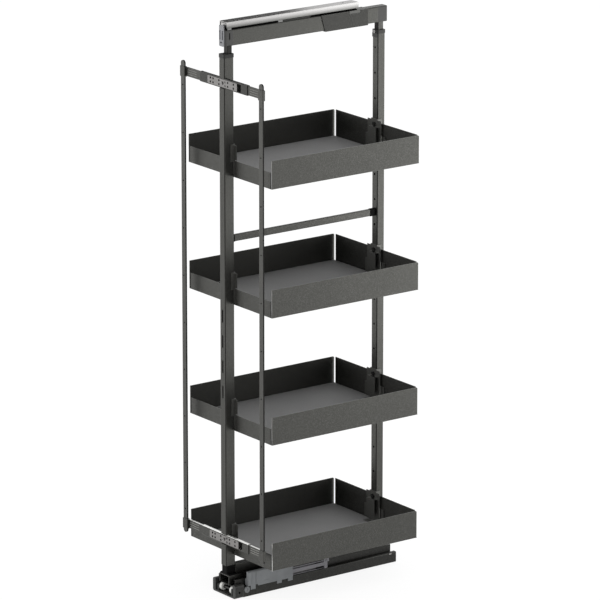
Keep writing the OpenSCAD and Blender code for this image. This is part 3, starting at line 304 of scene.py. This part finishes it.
def edge_wear_and_highlight(tree, width_mm):
    bevel = add_node(tree, "ShaderNodeBevel", {"samples": EDGE_SAMPLES}, Radius=width_mm / 1000)
    true = add_node(tree, "ShaderNodeNewGeometry").outputs["Normal"]
    turn = add_node(tree, "ShaderNodeVectorMath", {"operation": "DOT_PRODUCT"})
    tree.links.new(bevel.outputs["Normal"], turn.inputs[0])
    tree.links.new(true, turn.inputs[1])
    return spread(tree, turn.outputs["Value"], EDGE_FULL, EDGE_NONE, 1.0, 0.0)


def powder_coat(name, colour, flake, edge, metal, roughness):
    material, tree, shader = start_material(name)
    place = object_coordinates(tree)
    peel = noise(tree, place, PEEL_SCALE, detail=3.0, roughness=0.6)
    specks = contrast(tree, noise(tree, place, SPECK_SCALE, detail=1.0), low=0.52, high=0.72)
    cloud = contrast(tree, noise(tree, place, CLOUD_SCALE))
    base = tint(tree, specks, tint(tree, cloud, darker(colour, 0.9), colour), flake)
    # Along every edge the base colour turns lighter: partly wear, partly a painted highlight.
    tree.links.new(tint(tree, edge_wear_and_highlight(tree, EDGE_MM), base, edge), shader.inputs["Base Color"])
    tree.links.new(uneven(tree, peel, roughness, swing=0.05), shader.inputs["Roughness"])
    shader.inputs["Metallic"].default_value = metal
    set_bump(tree, shader, peel, PEEL_MM, strength=0.5)
    return material


ANTHRACITE = (0.062, 0.062, 0.057)
FLAKE = (0.13, 0.13, 0.123)
# The edge colour below stands for wear and for a painted highlight along the edges.
WORN_AND_HIGHLIT = (0.22, 0.22, 0.21)
tray_coat = powder_coat("tray_coat", ANTHRACITE, FLAKE, WORN_AND_HIGHLIT, metal=0.9, roughness=0.42)
post_coat = powder_coat("post_coat", ANTHRACITE, FLAKE, WORN_AND_HIGHLIT, metal=0.9, roughness=0.38)
sleeve_coat = powder_coat("sleeve_coat", (0.04, 0.04, 0.037), (0.08, 0.08, 0.076), WORN_AND_HIGHLIT,
                          metal=0.8, roughness=0.42)
tube_coat = powder_coat("tube_coat", (0.023, 0.023, 0.0215), (0.05, 0.05, 0.047), WORN_AND_HIGHLIT,
                        metal=0.9, roughness=0.38)
# The hangers get a lighter copy of the coat: painted light, as if their side flanges were lit.
hanger_coat_painted_light = powder_coat("hanger_coat_painted_light", (0.11, 0.11, 0.103), (0.18, 0.18, 0.17), WORN_AND_HIGHLIT,
                          metal=0.85, roughness=0.42)
rail_coat = powder_coat("rail_coat", (0.027, 0.027, 0.0255), (0.06, 0.06, 0.056), (0.07, 0.07, 0.066),
                        metal=0.9, roughness=0.4)
print("six powder coats")

# %% [markdown]
# The perforated plates, the top guide, axles and screws are zinc plated. Plating keeps the fine lines of
# the rolled strip, drawn out along its length. They are noise squeezed across the strip by a Mapping node,
# and drive the colour, the roughness and a shallow bump. An anisotropic shader could stretch the
# highlights alike, but would show no lines close up.

# %% Zinc plating
LINES_ALONG_Y = (700, 12, 700)
LINES_ALONG_X = (12, 700, 700)
LINE_MM = 0.01


def zinc_plating(name, colour, along):
    material, tree, shader = start_material(name)
    place = object_coordinates(tree)
    stretched = add_node(tree, "ShaderNodeMapping", Vector=place, Scale=along).outputs["Vector"]
    lines = noise(tree, stretched, 1.0, detail=3.0, roughness=0.6)
    streaks = contrast(tree, lines, low=0.35, high=0.65)
    tree.links.new(tint(tree, streaks, darker(colour, 0.88), colour), shader.inputs["Base Color"])
    tree.links.new(uneven(tree, lines, middle=0.3, swing=0.06), shader.inputs["Roughness"])
    shader.inputs["Metallic"].default_value = 1.0
    set_bump(tree, shader, lines, LINE_MM, strength=0.4)
    return material


zinc_along_y = zinc_plating("zinc_along_y", (0.3, 0.295, 0.29), LINES_ALONG_Y)
zinc_along_x = zinc_plating("zinc_along_x", (0.24, 0.233, 0.227), LINES_ALONG_X)
bright_zinc = zinc_plating("bright_zinc", (0.42, 0.415, 0.41), LINES_ALONG_Y)
# The middle guide profile, deep in its slot, gets a zinc painted dark: painted shade.
zinc_painted_shade = zinc_plating("zinc_painted_shade", (0.1, 0.1, 0.098), LINES_ALONG_Y)
print("four zinc platings, drawn along y or along x")

# %% [markdown]
# Feet, end caps, collars and the soft-close unit are mouldings. A moulding has no lines, it takes the
# fine eroded grain of its mould. A flat colour would look like card, so each one is a plain colour with a
# little cloud in it, a grain for bump, and a roughness that follows the grain.

# %% Moulded plastics
MOULD_CLOUD_SCALE = 35.0


def moulding(name, colour, roughness, shine=0.5, grain_scale=1500.0, grain_mm=0.04):
    material, tree, shader = start_material(name)
    place = object_coordinates(tree)
    grain = noise(tree, place, grain_scale, detail=2.0, roughness=0.6)
    cloud = contrast(tree, noise(tree, place, MOULD_CLOUD_SCALE))
    tree.links.new(tint(tree, cloud, darker(colour, 0.85), colour), shader.inputs["Base Color"])
    tree.links.new(uneven(tree, grain, roughness, swing=0.07), shader.inputs["Roughness"])
    shader.inputs["Specular IOR Level"].default_value = shine
    set_bump(tree, shader, grain, grain_mm, strength=0.5)
    return material


black_moulding = moulding("black_moulding", (0.006, 0.006, 0.006), roughness=0.5, shine=0.04)
cap_moulding = moulding("cap_moulding", (0.037, 0.037, 0.035), roughness=0.42, shine=0.35)
block_moulding = moulding("block_moulding", (0.055, 0.055, 0.052), roughness=0.4, shine=0.4)
collar_moulding = moulding("collar_moulding", (0.02, 0.02, 0.019), roughness=0.45, shine=0.3)
rear_collar_moulding = moulding("rear_collar_moulding", (0.042, 0.042, 0.039), roughness=0.45, shine=0.35)
soft_moulding = moulding("soft_moulding", (0.265, 0.276, 0.285), roughness=0.45, shine=0.3)
track_moulding = moulding("track_moulding", (0.255, 0.25, 0.268), roughness=0.45, shine=0.3)
adjuster_moulding = moulding("adjuster_moulding", (0.22, 0.23, 0.235), roughness=0.4)
clip_moulding = moulding("clip_moulding", (0.27, 0.275, 0.29), roughness=0.38)
stop_moulding = moulding("stop_moulding", (0.3, 0.3, 0.295), roughness=0.45, shine=0.3)
nylon = moulding("nylon", (0.8, 0.8, 0.77), roughness=0.35, grain_scale=700.0, grain_mm=0.03)
print("eleven mouldings")

# %% [markdown]
# Each tray holds a loose anti-slip mat. It is half matt, with a fine embossed grain that only shows
# close up, and slightly uneven in tone like any soft sheet. The grain could be modelled, but a Voronoi
# pattern as a bump gives it without the faces.

# %% Tray mat
EMBOSS_SCALE = 420.0
EMBOSS_MM = 0.12
MAT_CLOUD_SCALE = 9.0
MAT_SHINE = 0.3
MAT_GREY = (0.22, 0.22, 0.22)


def mat_sheet(name, colour):
    material, tree, shader = start_material(name)
    place = object_coordinates(tree)
    cells = add_node(tree, "ShaderNodeTexVoronoi", {"feature": "F1"}, Vector=place, Scale=EMBOSS_SCALE)
    emboss = cells.outputs["Distance"]
    cloud = contrast(tree, noise(tree, place, MAT_CLOUD_SCALE, detail=3.0))
    tree.links.new(tint(tree, cloud, darker(colour, 0.93), colour), shader.inputs["Base Color"])
    tree.links.new(spread(tree, emboss, 0.0, 0.8, 0.5, 0.65), shader.inputs["Roughness"])
    shader.inputs["Specular IOR Level"].default_value = MAT_SHINE
    set_bump(tree, shader, emboss, EMBOSS_MM, strength=0.5)
    return material


mat_finish = mat_sheet("mat_sheet", MAT_GREY)
print("tray mat")

# %% [markdown]
# Some pieces show a second colour: a groove that is rubbed bare, and on several pieces a painted highlight
# along an edge and painted shade in a slot. The faces could be split into two material slots, but the solids
# are not to be touched. So such a piece gets a copy of its finish with a second colour laid over it, by a
# mask that reads where on the object a point lies and which way it faces.

# %% A second colour by a mask
FACING = 0.5


def repaint(material, name, mask_of, colour):
    copy = material.copy()
    copy.name = name
    tree = copy.node_tree
    shader = tree.nodes["Principled BSDF"]
    under = shader.inputs["Base Color"].links[0].from_socket
    coordinates = add_node(tree, "ShaderNodeTexCoord").outputs
    place = add_node(tree, "ShaderNodeSeparateXYZ", Vector=coordinates["Object"]).outputs
    facing = add_node(tree, "ShaderNodeSeparateXYZ", Vector=coordinates["Normal"]).outputs
    mask = mask_of(tree, place, facing)
    tree.links.new(tint(tree, mask, under, colour), shader.inputs["Base Color"])
    print("two tones:", name)
    return copy


def both(tree, mask_a, mask_b):
    return maths(tree, "MULTIPLY", mask_a, mask_b)


def faces_front(tree, facing):
    return maths(tree, "LESS_THAN", facing["Y"], -FACING)


def faces_up(tree, facing):
    return maths(tree, "GREATER_THAN", facing["Z"], FACING)


print("masks ready")

# %% [markdown]
# The arms of the door frame slide in and out, so the grooves in their faces are rubbed bare. The upper
# side of the lower crossbar, which catches the light as a white line in the photograph, is painted near
# white as a painted highlight, and so are the low ends of the arms. The narrow side faces of the door
# strips are painted almost black as painted shade. An image could carry all this, but masks on depth,
# height and facing stay sharp at any distance.

# %% Rubbed arms, painted highlight on the lower crossbar, painted shade on the door strips
SKIN = 0.0003
LOW_HEIGHT = 0.2
BARE = (0.2, 0.2, 0.19)
# Painted highlight: near white on upward faces low down.
PAINTED_HIGHLIGHT = (0.9, 0.9, 0.88)
STRIP_GREY = (0.072, 0.072, 0.067)
# Painted shade: almost black on the strips' side faces.
STRIP_SIDE_SHADE = (0.012, 0.012, 0.011)


def groove_floor(front_y):
    def mask(tree, place, facing):
        deep = maths(tree, "GREATER_THAN", place["Y"], front_y + SKIN)
        return both(tree, deep, faces_front(tree, facing))
    return mask


def low_top_highlight(tree, place, facing):
    return both(tree, maths(tree, "LESS_THAN", place["Z"], LOW_HEIGHT), faces_up(tree, facing))


def shaded_strip_sides(tree, place, facing):
    return maths(tree, "GREATER_THAN", maths(tree, "ABSOLUTE", facing["X"]), FACING)


arm_coat = repaint(post_coat, "arm_coat", groove_floor(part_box("left_arms")[0].y), BARE)
# The upward faces low down are painted near white: a painted highlight.
arm_coat = repaint(arm_coat, "arm_coat_top_highlight", low_top_highlight, PAINTED_HIGHLIGHT)
crossbar_coat_highlit = repaint(post_coat, "crossbar_coat_highlit", low_top_highlight, PAINTED_HIGHLIGHT)
strip_base = powder_coat("strip_base", STRIP_GREY, FLAKE, WORN_AND_HIGHLIT, metal=0.9, roughness=0.38)
# The strips' side faces are painted almost black: painted shade.
strip_coat_shaded_sides = repaint(strip_base, "strip_coat_shaded_sides", shaded_strip_sides, STRIP_SIDE_SHADE)

# %% [markdown]
# Powder does not reach far into a tube, so the inside of the posts keeps the black scale of its rolling. It
# shows only in the slots and round holes, and is painted near black there, scale and painted shade at once.
# A dark disc behind each hole would hide the inner tubes as they slide, so everything deeper than the
# outer skin is painted instead. The sides of the rear tube and of its collar that face the door are
# painted as black.

# %% Black inside of the posts, rear tube and collar
NEAR_BLACK = (0.003, 0.003, 0.003)


def inside_of(low, high):
    middle_x, middle_y = (low.x + high.x) / 2, (low.y + high.y) / 2
    half_x, half_y = (high.x - low.x) / 2 - SKIN, (high.y - low.y) / 2 - SKIN

    def mask(tree, place, facing):
        across = maths(tree, "COMPARE", place["X"], middle_x, half_x)
        return both(tree, across, maths(tree, "COMPARE", place["Y"], middle_y, half_y))
    return mask


def front_side(tree, place, facing):
    return faces_front(tree, facing)


# Inside the posts: near black for mill scale and for painted shade.
front_post_coat = repaint(post_coat, "front_post_coat", inside_of(*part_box("front_post")), NEAR_BLACK)
rear_post_coat = repaint(post_coat, "rear_post_coat", inside_of(*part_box("rear_post")), NEAR_BLACK)
# The sides facing the door are painted near black.
rear_tube_coat = repaint(post_coat, "rear_tube_coat", front_side, NEAR_BLACK)
rear_collar_finish = repaint(rear_collar_moulding, "rear_collar_finish", front_side, NEAR_BLACK)

# %% [markdown]
# A tray is folded from coated sheet. The cut front edges of its sides are painted light as bright lines, a
# painted highlight, which is near white on the lowest tray. The Bevel node of the coat finds every edge
# alike, so these few get a mask of their own: the outermost sheet thickness, where it faces the door.

# %% Painted highlight on the cut edges of the trays
SHEET = 0.0016
CUT_EDGE_HIGHLIGHT = (0.35, 0.35, 0.34)
tray_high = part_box("tray_1")[1]


def highlit_front_edge(tree, place, facing):
    outermost = maths(tree, "GREATER_THAN", maths(tree, "ABSOLUTE", place["X"]), tray_high.x - SHEET)
    return both(tree, outermost, faces_front(tree, facing))


# Cut front edges painted light: a painted highlight, near white on the lowest tray.
upper_tray_coat_highlit = repaint(tray_coat, "tray_coat_cut_edge_highlight", highlit_front_edge, CUT_EDGE_HIGHLIGHT)
lowest_tray_coat_highlit = repaint(tray_coat, "tray_coat_edge_highlight", highlit_front_edge, PAINTED_HIGHLIGHT)

# %% [markdown]
# The top clip's two sunk bars are painted a dark blue-grey, partly their own tint and partly painted
# shade in the recess, and the slit in the end block is painted black inside as painted shade. The pocket
# of the top sleeve is rubbed. The guide profile is painted darker below its bright upper edge, a painted
# shade, and the profile inside it is painted black as painted shade, except for its cut front end. Each
# could be a finish of its own, but a mask over the finish that the piece has keeps grain and gloss the
# same across the join.

# %% Clip, end block, sleeve and guide
SLIT_Y, SLIT_HALF_Y = -0.2335, 0.0016
SLIT_X, SLIT_HALF_X = 0.0096, 0.0013
POCKET_H = 0.007
SHADE_FROM, SHADE_TO = 0.001, 0.011
# The near black below is painted shade in the slit and on the inner profile.
SHADE_BLACK = (0.002, 0.002, 0.002)
RUBBED = (0.1, 0.1, 0.095)
# Next: painted shade low on the guide's side, and in the sunk bars a blue-grey tint with painted shade.
GUIDE_LOW_SHADE = (0.13, 0.13, 0.125)
SUNK_BAR_SHADE = (0.03, 0.032, 0.045)


def slit_painted_shade(tree, place, facing):
    along = maths(tree, "COMPARE", place["Y"], SLIT_Y, SLIT_HALF_Y)
    sunk = maths(tree, "COMPARE", place["X"], SLIT_X, SLIT_HALF_X)
    return both(tree, along, sunk)


def pocket_floor(outer_x, bottom_z):
    def mask(tree, place, facing):
        sunk = maths(tree, "LESS_THAN", maths(tree, "ABSOLUTE", place["X"]), outer_x - SKIN)
        return both(tree, sunk, maths(tree, "GREATER_THAN", place["Z"], bottom_z))
    return mask


# Painted shade: darker towards the bottom of the guide's side.
def darker_below(z_low, z_high):
    def mask(tree, place, facing):
        return spread(tree, place["Z"], z_low, z_high, 1.0, 0.0)
    return mask


def not_front_end(tree, place, facing):
    return maths(tree, "SUBTRACT", 1.0, faces_front(tree, facing))


guide_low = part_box("top_guide_rail")[0]
sleeve_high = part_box("top_sleeve")[1]
pocket = pocket_floor(sleeve_high.x, sleeve_high.z - POCKET_H)
lower_guide_shade = darker_below(guide_low.z + SHADE_FROM, guide_low.z + SHADE_TO)
# Painted shade: dark sunk bars, black slit, darker low guide side, black inner profile.
clip_finish_shaded_bars = repaint(clip_moulding, "clip_finish_shaded_bars", groove_floor(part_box("top_clip")[0].y), SUNK_BAR_SHADE)
end_block_shaded_slit = repaint(block_moulding, "end_block_shaded_slit", slit_painted_shade, SHADE_BLACK)
sleeve_finish = repaint(sleeve_coat, "sleeve_finish", pocket, RUBBED)
guide_zinc_shaded_low = repaint(bright_zinc, "guide_zinc_shaded_low", lower_guide_shade, GUIDE_LOW_SHADE)
inner_guide_painted_black = repaint(bright_zinc, "inner_guide_painted_black", not_front_end, SHADE_BLACK)

# %% [markdown]
# Each solid gets its finish in its material slot. The record's slots say which family a node belongs to,
# and a second table names the pieces that differ from their family. The slots could be set node by node,
# but two tables show at a glance which pieces share a finish.

# %% Dress the solids
FINISHES = {
    "anthracite": post_coat,
    "dark_steel": rail_coat,
    "block_plastic": block_moulding,
    "black_plastic": black_moulding,
    "zinc": zinc_along_y,
    "soft_grey": soft_moulding,
    "white_nylon": nylon,
    "clip_grey": clip_finish_shaded_bars,
    "mat_grey": mat_finish,
}
OWN_FINISH = {
    "door_plates": zinc_along_x,
    "top_guide_rail": guide_zinc_shaded_low,
    "top_guide_middle": zinc_painted_shade,
    "top_guide_inner": inner_guide_painted_black,
    "top_end_blocks": end_block_shaded_slit,
    "front_collar": collar_moulding,
    "rear_collar": rear_collar_finish,
    "front_post": front_post_coat,
    "rear_post": rear_post_coat,
    "front_inner_tube": tube_coat,
    "rear_inner_tube": rear_tube_coat,
    "tray_1": lowest_tray_coat_highlit,
    "top_sleeve": sleeve_finish,
    "left_strip": strip_coat_shaded_sides,
    "right_strip": strip_coat_shaded_sides,
    "left_arms": arm_coat,
    "right_arms": arm_coat,
    "door_sleeve_top": sleeve_coat,
    "door_sleeve_bottom": crossbar_coat_highlit,
    "base_front_cap": cap_moulding,
    "soft_close_track": track_moulding,
    "side_adjuster": adjuster_moulding,
}
OWN_FINISH.update({f"tray_{n}": upper_tray_coat_highlit for n in range(2, 5)})
OWN_FINISH.update({f"hangers_{n}": hanger_coat_painted_light for n in range(1, 5)})

node_slot = {row["node"]: row["material_slot"] for row in frame["record"]["subparts"]}
for name, obj in nodes.items():
    obj.data.materials.clear()
    obj.data.materials.append(OWN_FINISH.get(name, FINISHES[node_slot[name]]))
print("dressed", len(nodes), "solids")

# %% [markdown]
# The closing spring of the soft-close unit is one round wire wound in a helix. A curve with a bevel could
# draw it, but bmesh's spin does it in one step: a ring of wire is turned round the spring's axis and
# moved a little along it at each step. It replaces the coarse solid.

# %% Closing spring
TURNS = 24
STEPS_PER_TURN = 20
WIRE_R = 0.0005
WIRE_SIDES = 10

low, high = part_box("closing_spring")
axis_x, axis_z = (low.x + high.x) / 2, (low.z + high.z) / 2
coil_r = (high.x - low.x) / 2 - WIRE_R
start_y, end_y = low.y + WIRE_R, high.y - WIRE_R
steps = TURNS * STEPS_PER_TURN

bm = bmesh.new()
ring = bmesh.ops.create_circle(bm, segments=WIRE_SIDES, radius=WIRE_R)["verts"]
bmesh.ops.translate(bm, verts=ring, vec=(axis_x + coil_r, start_y, axis_z))
bmesh.ops.spin(bm, geom=bm.verts[:] + bm.edges[:], cent=(axis_x, start_y, axis_z), axis=(0, 1, 0),
               dvec=(0, (end_y - start_y) / steps, 0), angle=TURNS * math.tau, steps=steps)
bmesh.ops.holes_fill(bm, edges=[e for e in bm.edges if e.is_boundary], sides=0)
bmesh.ops.recalc_face_normals(bm, faces=bm.faces)
print("spring:", len(bm.faces), "faces")
spring_mesh = bpy.data.meshes.new("closing_coil")
bm.to_mesh(spring_mesh)
bm.free()
spring_mesh.shade_smooth()
spring_mesh.materials.append(zinc_along_y)
closing_coil = bpy.data.objects.new("closing_coil", spring_mesh)
bpy.context.scene.collection.objects.link(closing_coil)
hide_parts("closing_spring")
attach(closing_coil, "base")
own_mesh(closing_coil)

# %% [markdown]
# The last small pieces are blocks and heads. They could be primitives with modifiers, but a piece has to
# sit at the origin with its place in its mesh, so a cube in a bmesh is scaled, moved and bevelled there,
# mirrored to the other side where it has a twin, and handed to its body.

# %% Helpers for small pieces
WELD = 1e-6


def block(bm, low, high, radius):
    made = bmesh.ops.create_cube(bm, size=1.0)["verts"]
    bmesh.ops.scale(bm, verts=made, vec=high - low)
    bmesh.ops.translate(bm, verts=made, vec=(low + high) / 2)
    edges = list({edge for vert in made for edge in vert.link_edges})
    bmesh.ops.bevel(bm, geom=edges, offset=radius, segments=2, profile=0.5, affect="EDGES", material=-1)


def dress_piece(bm, name, finish, body):
    bmesh.ops.remove_doubles(bm, verts=bm.verts, dist=WELD)
    bmesh.ops.recalc_face_normals(bm, faces=bm.faces)
    mesh = bpy.data.meshes.new(name)
    bm.to_mesh(mesh)
    bm.free()
    mesh.materials.append(finish)
    piece = bpy.data.objects.new(name, mesh)
    bpy.context.scene.collection.objects.link(piece)
    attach(piece, body)
    print(name, len(mesh.polygons), "faces")


def mirror_over_x(bm):
    bmesh.ops.mirror(bm, geom=bm.verts[:] + bm.edges[:] + bm.faces[:], merge_dist=-1, axis="X")


print("block helpers ready")

# %% [markdown]
# In the slot between the guide and the beam the photograph shows a pale stop at the front end and a second
# one further back. A plain block could do, but a sunk panel in the outer face catches the light as in a
# real moulding.

# %% Stops under the guide
SLOT_IN, SLOT_OUT = 0.0092, 0.0126
STOPS_Y = ((-0.240, -0.229), (-0.090, -0.077))
STOP_EDGE = 0.0006
PANEL_RIM = 0.0007
PANEL_DEPTH = 0.0004
ROOM_BELOW = 0.0002
ROOM_ABOVE = 0.0003
slot_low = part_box("top_beam")[1].z + ROOM_BELOW
slot_high = guide_low.z - ROOM_ABOVE

bm = bmesh.new()
for y0, y1 in STOPS_Y:
    block(bm, Vector((SLOT_IN, y0, slot_low)), Vector((SLOT_OUT, y1, slot_high)), STOP_EDGE)
outer = [face for face in bm.faces if face.normal.x > 0.99]
bmesh.ops.inset_individual(bm, faces=outer, thickness=PANEL_RIM, depth=-PANEL_DEPTH)
mirror_over_x(bm)
dress_piece(bm, "guide_stops", stop_moulding, "upper_frame")

# %% [markdown]
# Behind the second stop runs the dark ball cage of the guide, a strip with a row of balls in it. A bump
# could draw the balls, but a sphere each costs little and holds up from every side.

# %% Ball cage under the guide
CAGE_Y = (-0.076, 0.006)
CAGE_SET_BACK = 0.001
CAGE_SET_DOWN = 0.0012
CAGE_EDGE = 0.0004
BALLS = 9
BALL_R = 0.0013
BALL_SET_BACK = 0.0014
BALL_GAP = 0.0001
bm = bmesh.new()
block(bm, Vector((SLOT_IN, CAGE_Y[0], slot_low)),
      Vector((SLOT_OUT - CAGE_SET_BACK, CAGE_Y[1], slot_high - CAGE_SET_DOWN)), CAGE_EDGE)
for i in range(BALLS):
    ball = bmesh.ops.create_uvsphere(bm, u_segments=14, v_segments=8, radius=BALL_R)["verts"]
    y = CAGE_Y[0] + (i + 0.5) * (CAGE_Y[1] - CAGE_Y[0]) / BALLS
    bmesh.ops.translate(bm, verts=ball, vec=(SLOT_OUT - BALL_SET_BACK, y, slot_high - BALL_R - BALL_GAP))
mirror_over_x(bm)
dress_piece(bm, "guide_ball_cage", rail_coat, "upper_frame")

# %% [markdown]
# Beside the rear post the photograph shows a dark plate from each hanger down to the mat. It is too small
# to read, and taken to be a thin apron of plain sheet, so a bevelled block on each side of the post is
# enough. A folded sheet with its own bends would say more than the picture does.

# %% Aprons of the rear hangers
APRON_IN, APRON_OUT = 0.013, 0.0256
APRON_T = 0.0015
APRON_TOP = 0.0399
APRON_EDGE = 0.0003
POST_GAP = 0.0004
MAT_GAP = 0.0003
post_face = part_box("rear_post")[0].y
for n in range(1, 5):
    hanger_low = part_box(f"hangers_{n}")[0].z
    mat_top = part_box(f"mat_{n}")[1].z
    bm = bmesh.new()
    block(bm, Vector((APRON_IN, post_face - POST_GAP - APRON_T, mat_top + MAT_GAP)),
          Vector((APRON_OUT, post_face - POST_GAP, hanger_low + APRON_TOP - POST_GAP)), APRON_EDGE)
    mirror_over_x(bm)
    dress_piece(bm, f"hanger_apron_{n}", hanger_coat_painted_light, f"tray_body_{n}")

# %% [markdown]
# Under the clamp screw of the rear collar a dark lug lies on the front of the post. It could be one with
# the collar, but the solids stay as they are, so it is a thin bevelled block that meets the collar's rim.

# %% Lug of the rear collar
LUG_HALF_X = 0.011
LUG_T = 0.0012
LUG_H = 0.01
LUG_EDGE = 0.0004
post_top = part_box("rear_post")[1].z
bm = bmesh.new()
block(bm, Vector((-LUG_HALF_X, post_face - LUG_T, post_top - LUG_H)),
      Vector((LUG_HALF_X, post_face, post_top)), LUG_EDGE)
dress_piece(bm, "rear_collar_lug", collar_moulding, "frame")

# %% [markdown]
# A light oval near the rear end of the rail's right wall is taken to be a pressed rivet, with its twin on
# the left wall. A head could be spun from a profile, but a short cone with a bevelled rim and a sunk
# middle, stretched along the rail, is the same shape in a few operators.

# %% Rivets on the rail's walls
RIVET_R = 0.002
RIVET_TOP_R = 0.8 * RIVET_R
RIVET_SIDES = 32
RIVET_H = 0.0014
RIVET_SUNK = 0.0004
RIVET_RIM = 0.0003
RIVET_DISH_RIM = 0.0006
RIVET_DISH_DEPTH = 0.0003
RIVET_STRETCH = 2.4
RIVET_FROM_END = 0.0185
RIVET_FROM_TOP = 0.003
rail_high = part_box("base_rail")[1]
bm = bmesh.new()
bmesh.ops.create_cone(bm, cap_ends=True, segments=RIVET_SIDES, radius1=RIVET_R, radius2=RIVET_TOP_R,
                      depth=RIVET_H)
top = max(bm.faces, key=lambda face: face.calc_center_median().z)
bmesh.ops.bevel(bm, geom=list(top.edges), offset=RIVET_RIM, segments=2, profile=0.5, affect="EDGES",
                material=-1)
top = max(bm.faces, key=lambda face: (round(face.calc_center_median().z, 6), face.calc_area()))
bmesh.ops.inset_individual(bm, faces=[top], thickness=RIVET_DISH_RIM, depth=-RIVET_DISH_DEPTH)
bmesh.ops.scale(bm, verts=bm.verts, vec=(1, RIVET_STRETCH, 1))
bmesh.ops.rotate(bm, verts=bm.verts, cent=(0, 0, 0), matrix=Matrix.Rotation(math.radians(90), 3, "Y"))
bmesh.ops.translate(bm, verts=bm.verts, vec=(
    rail_high.x + RIVET_H / 2 - RIVET_SUNK,
    rail_high.y - RIVET_FROM_END,
    rail_high.z - RIVET_FROM_TOP,
))
mirror_over_x(bm)
dress_piece(bm, "rail_end_rivets", zinc_along_x, "base")
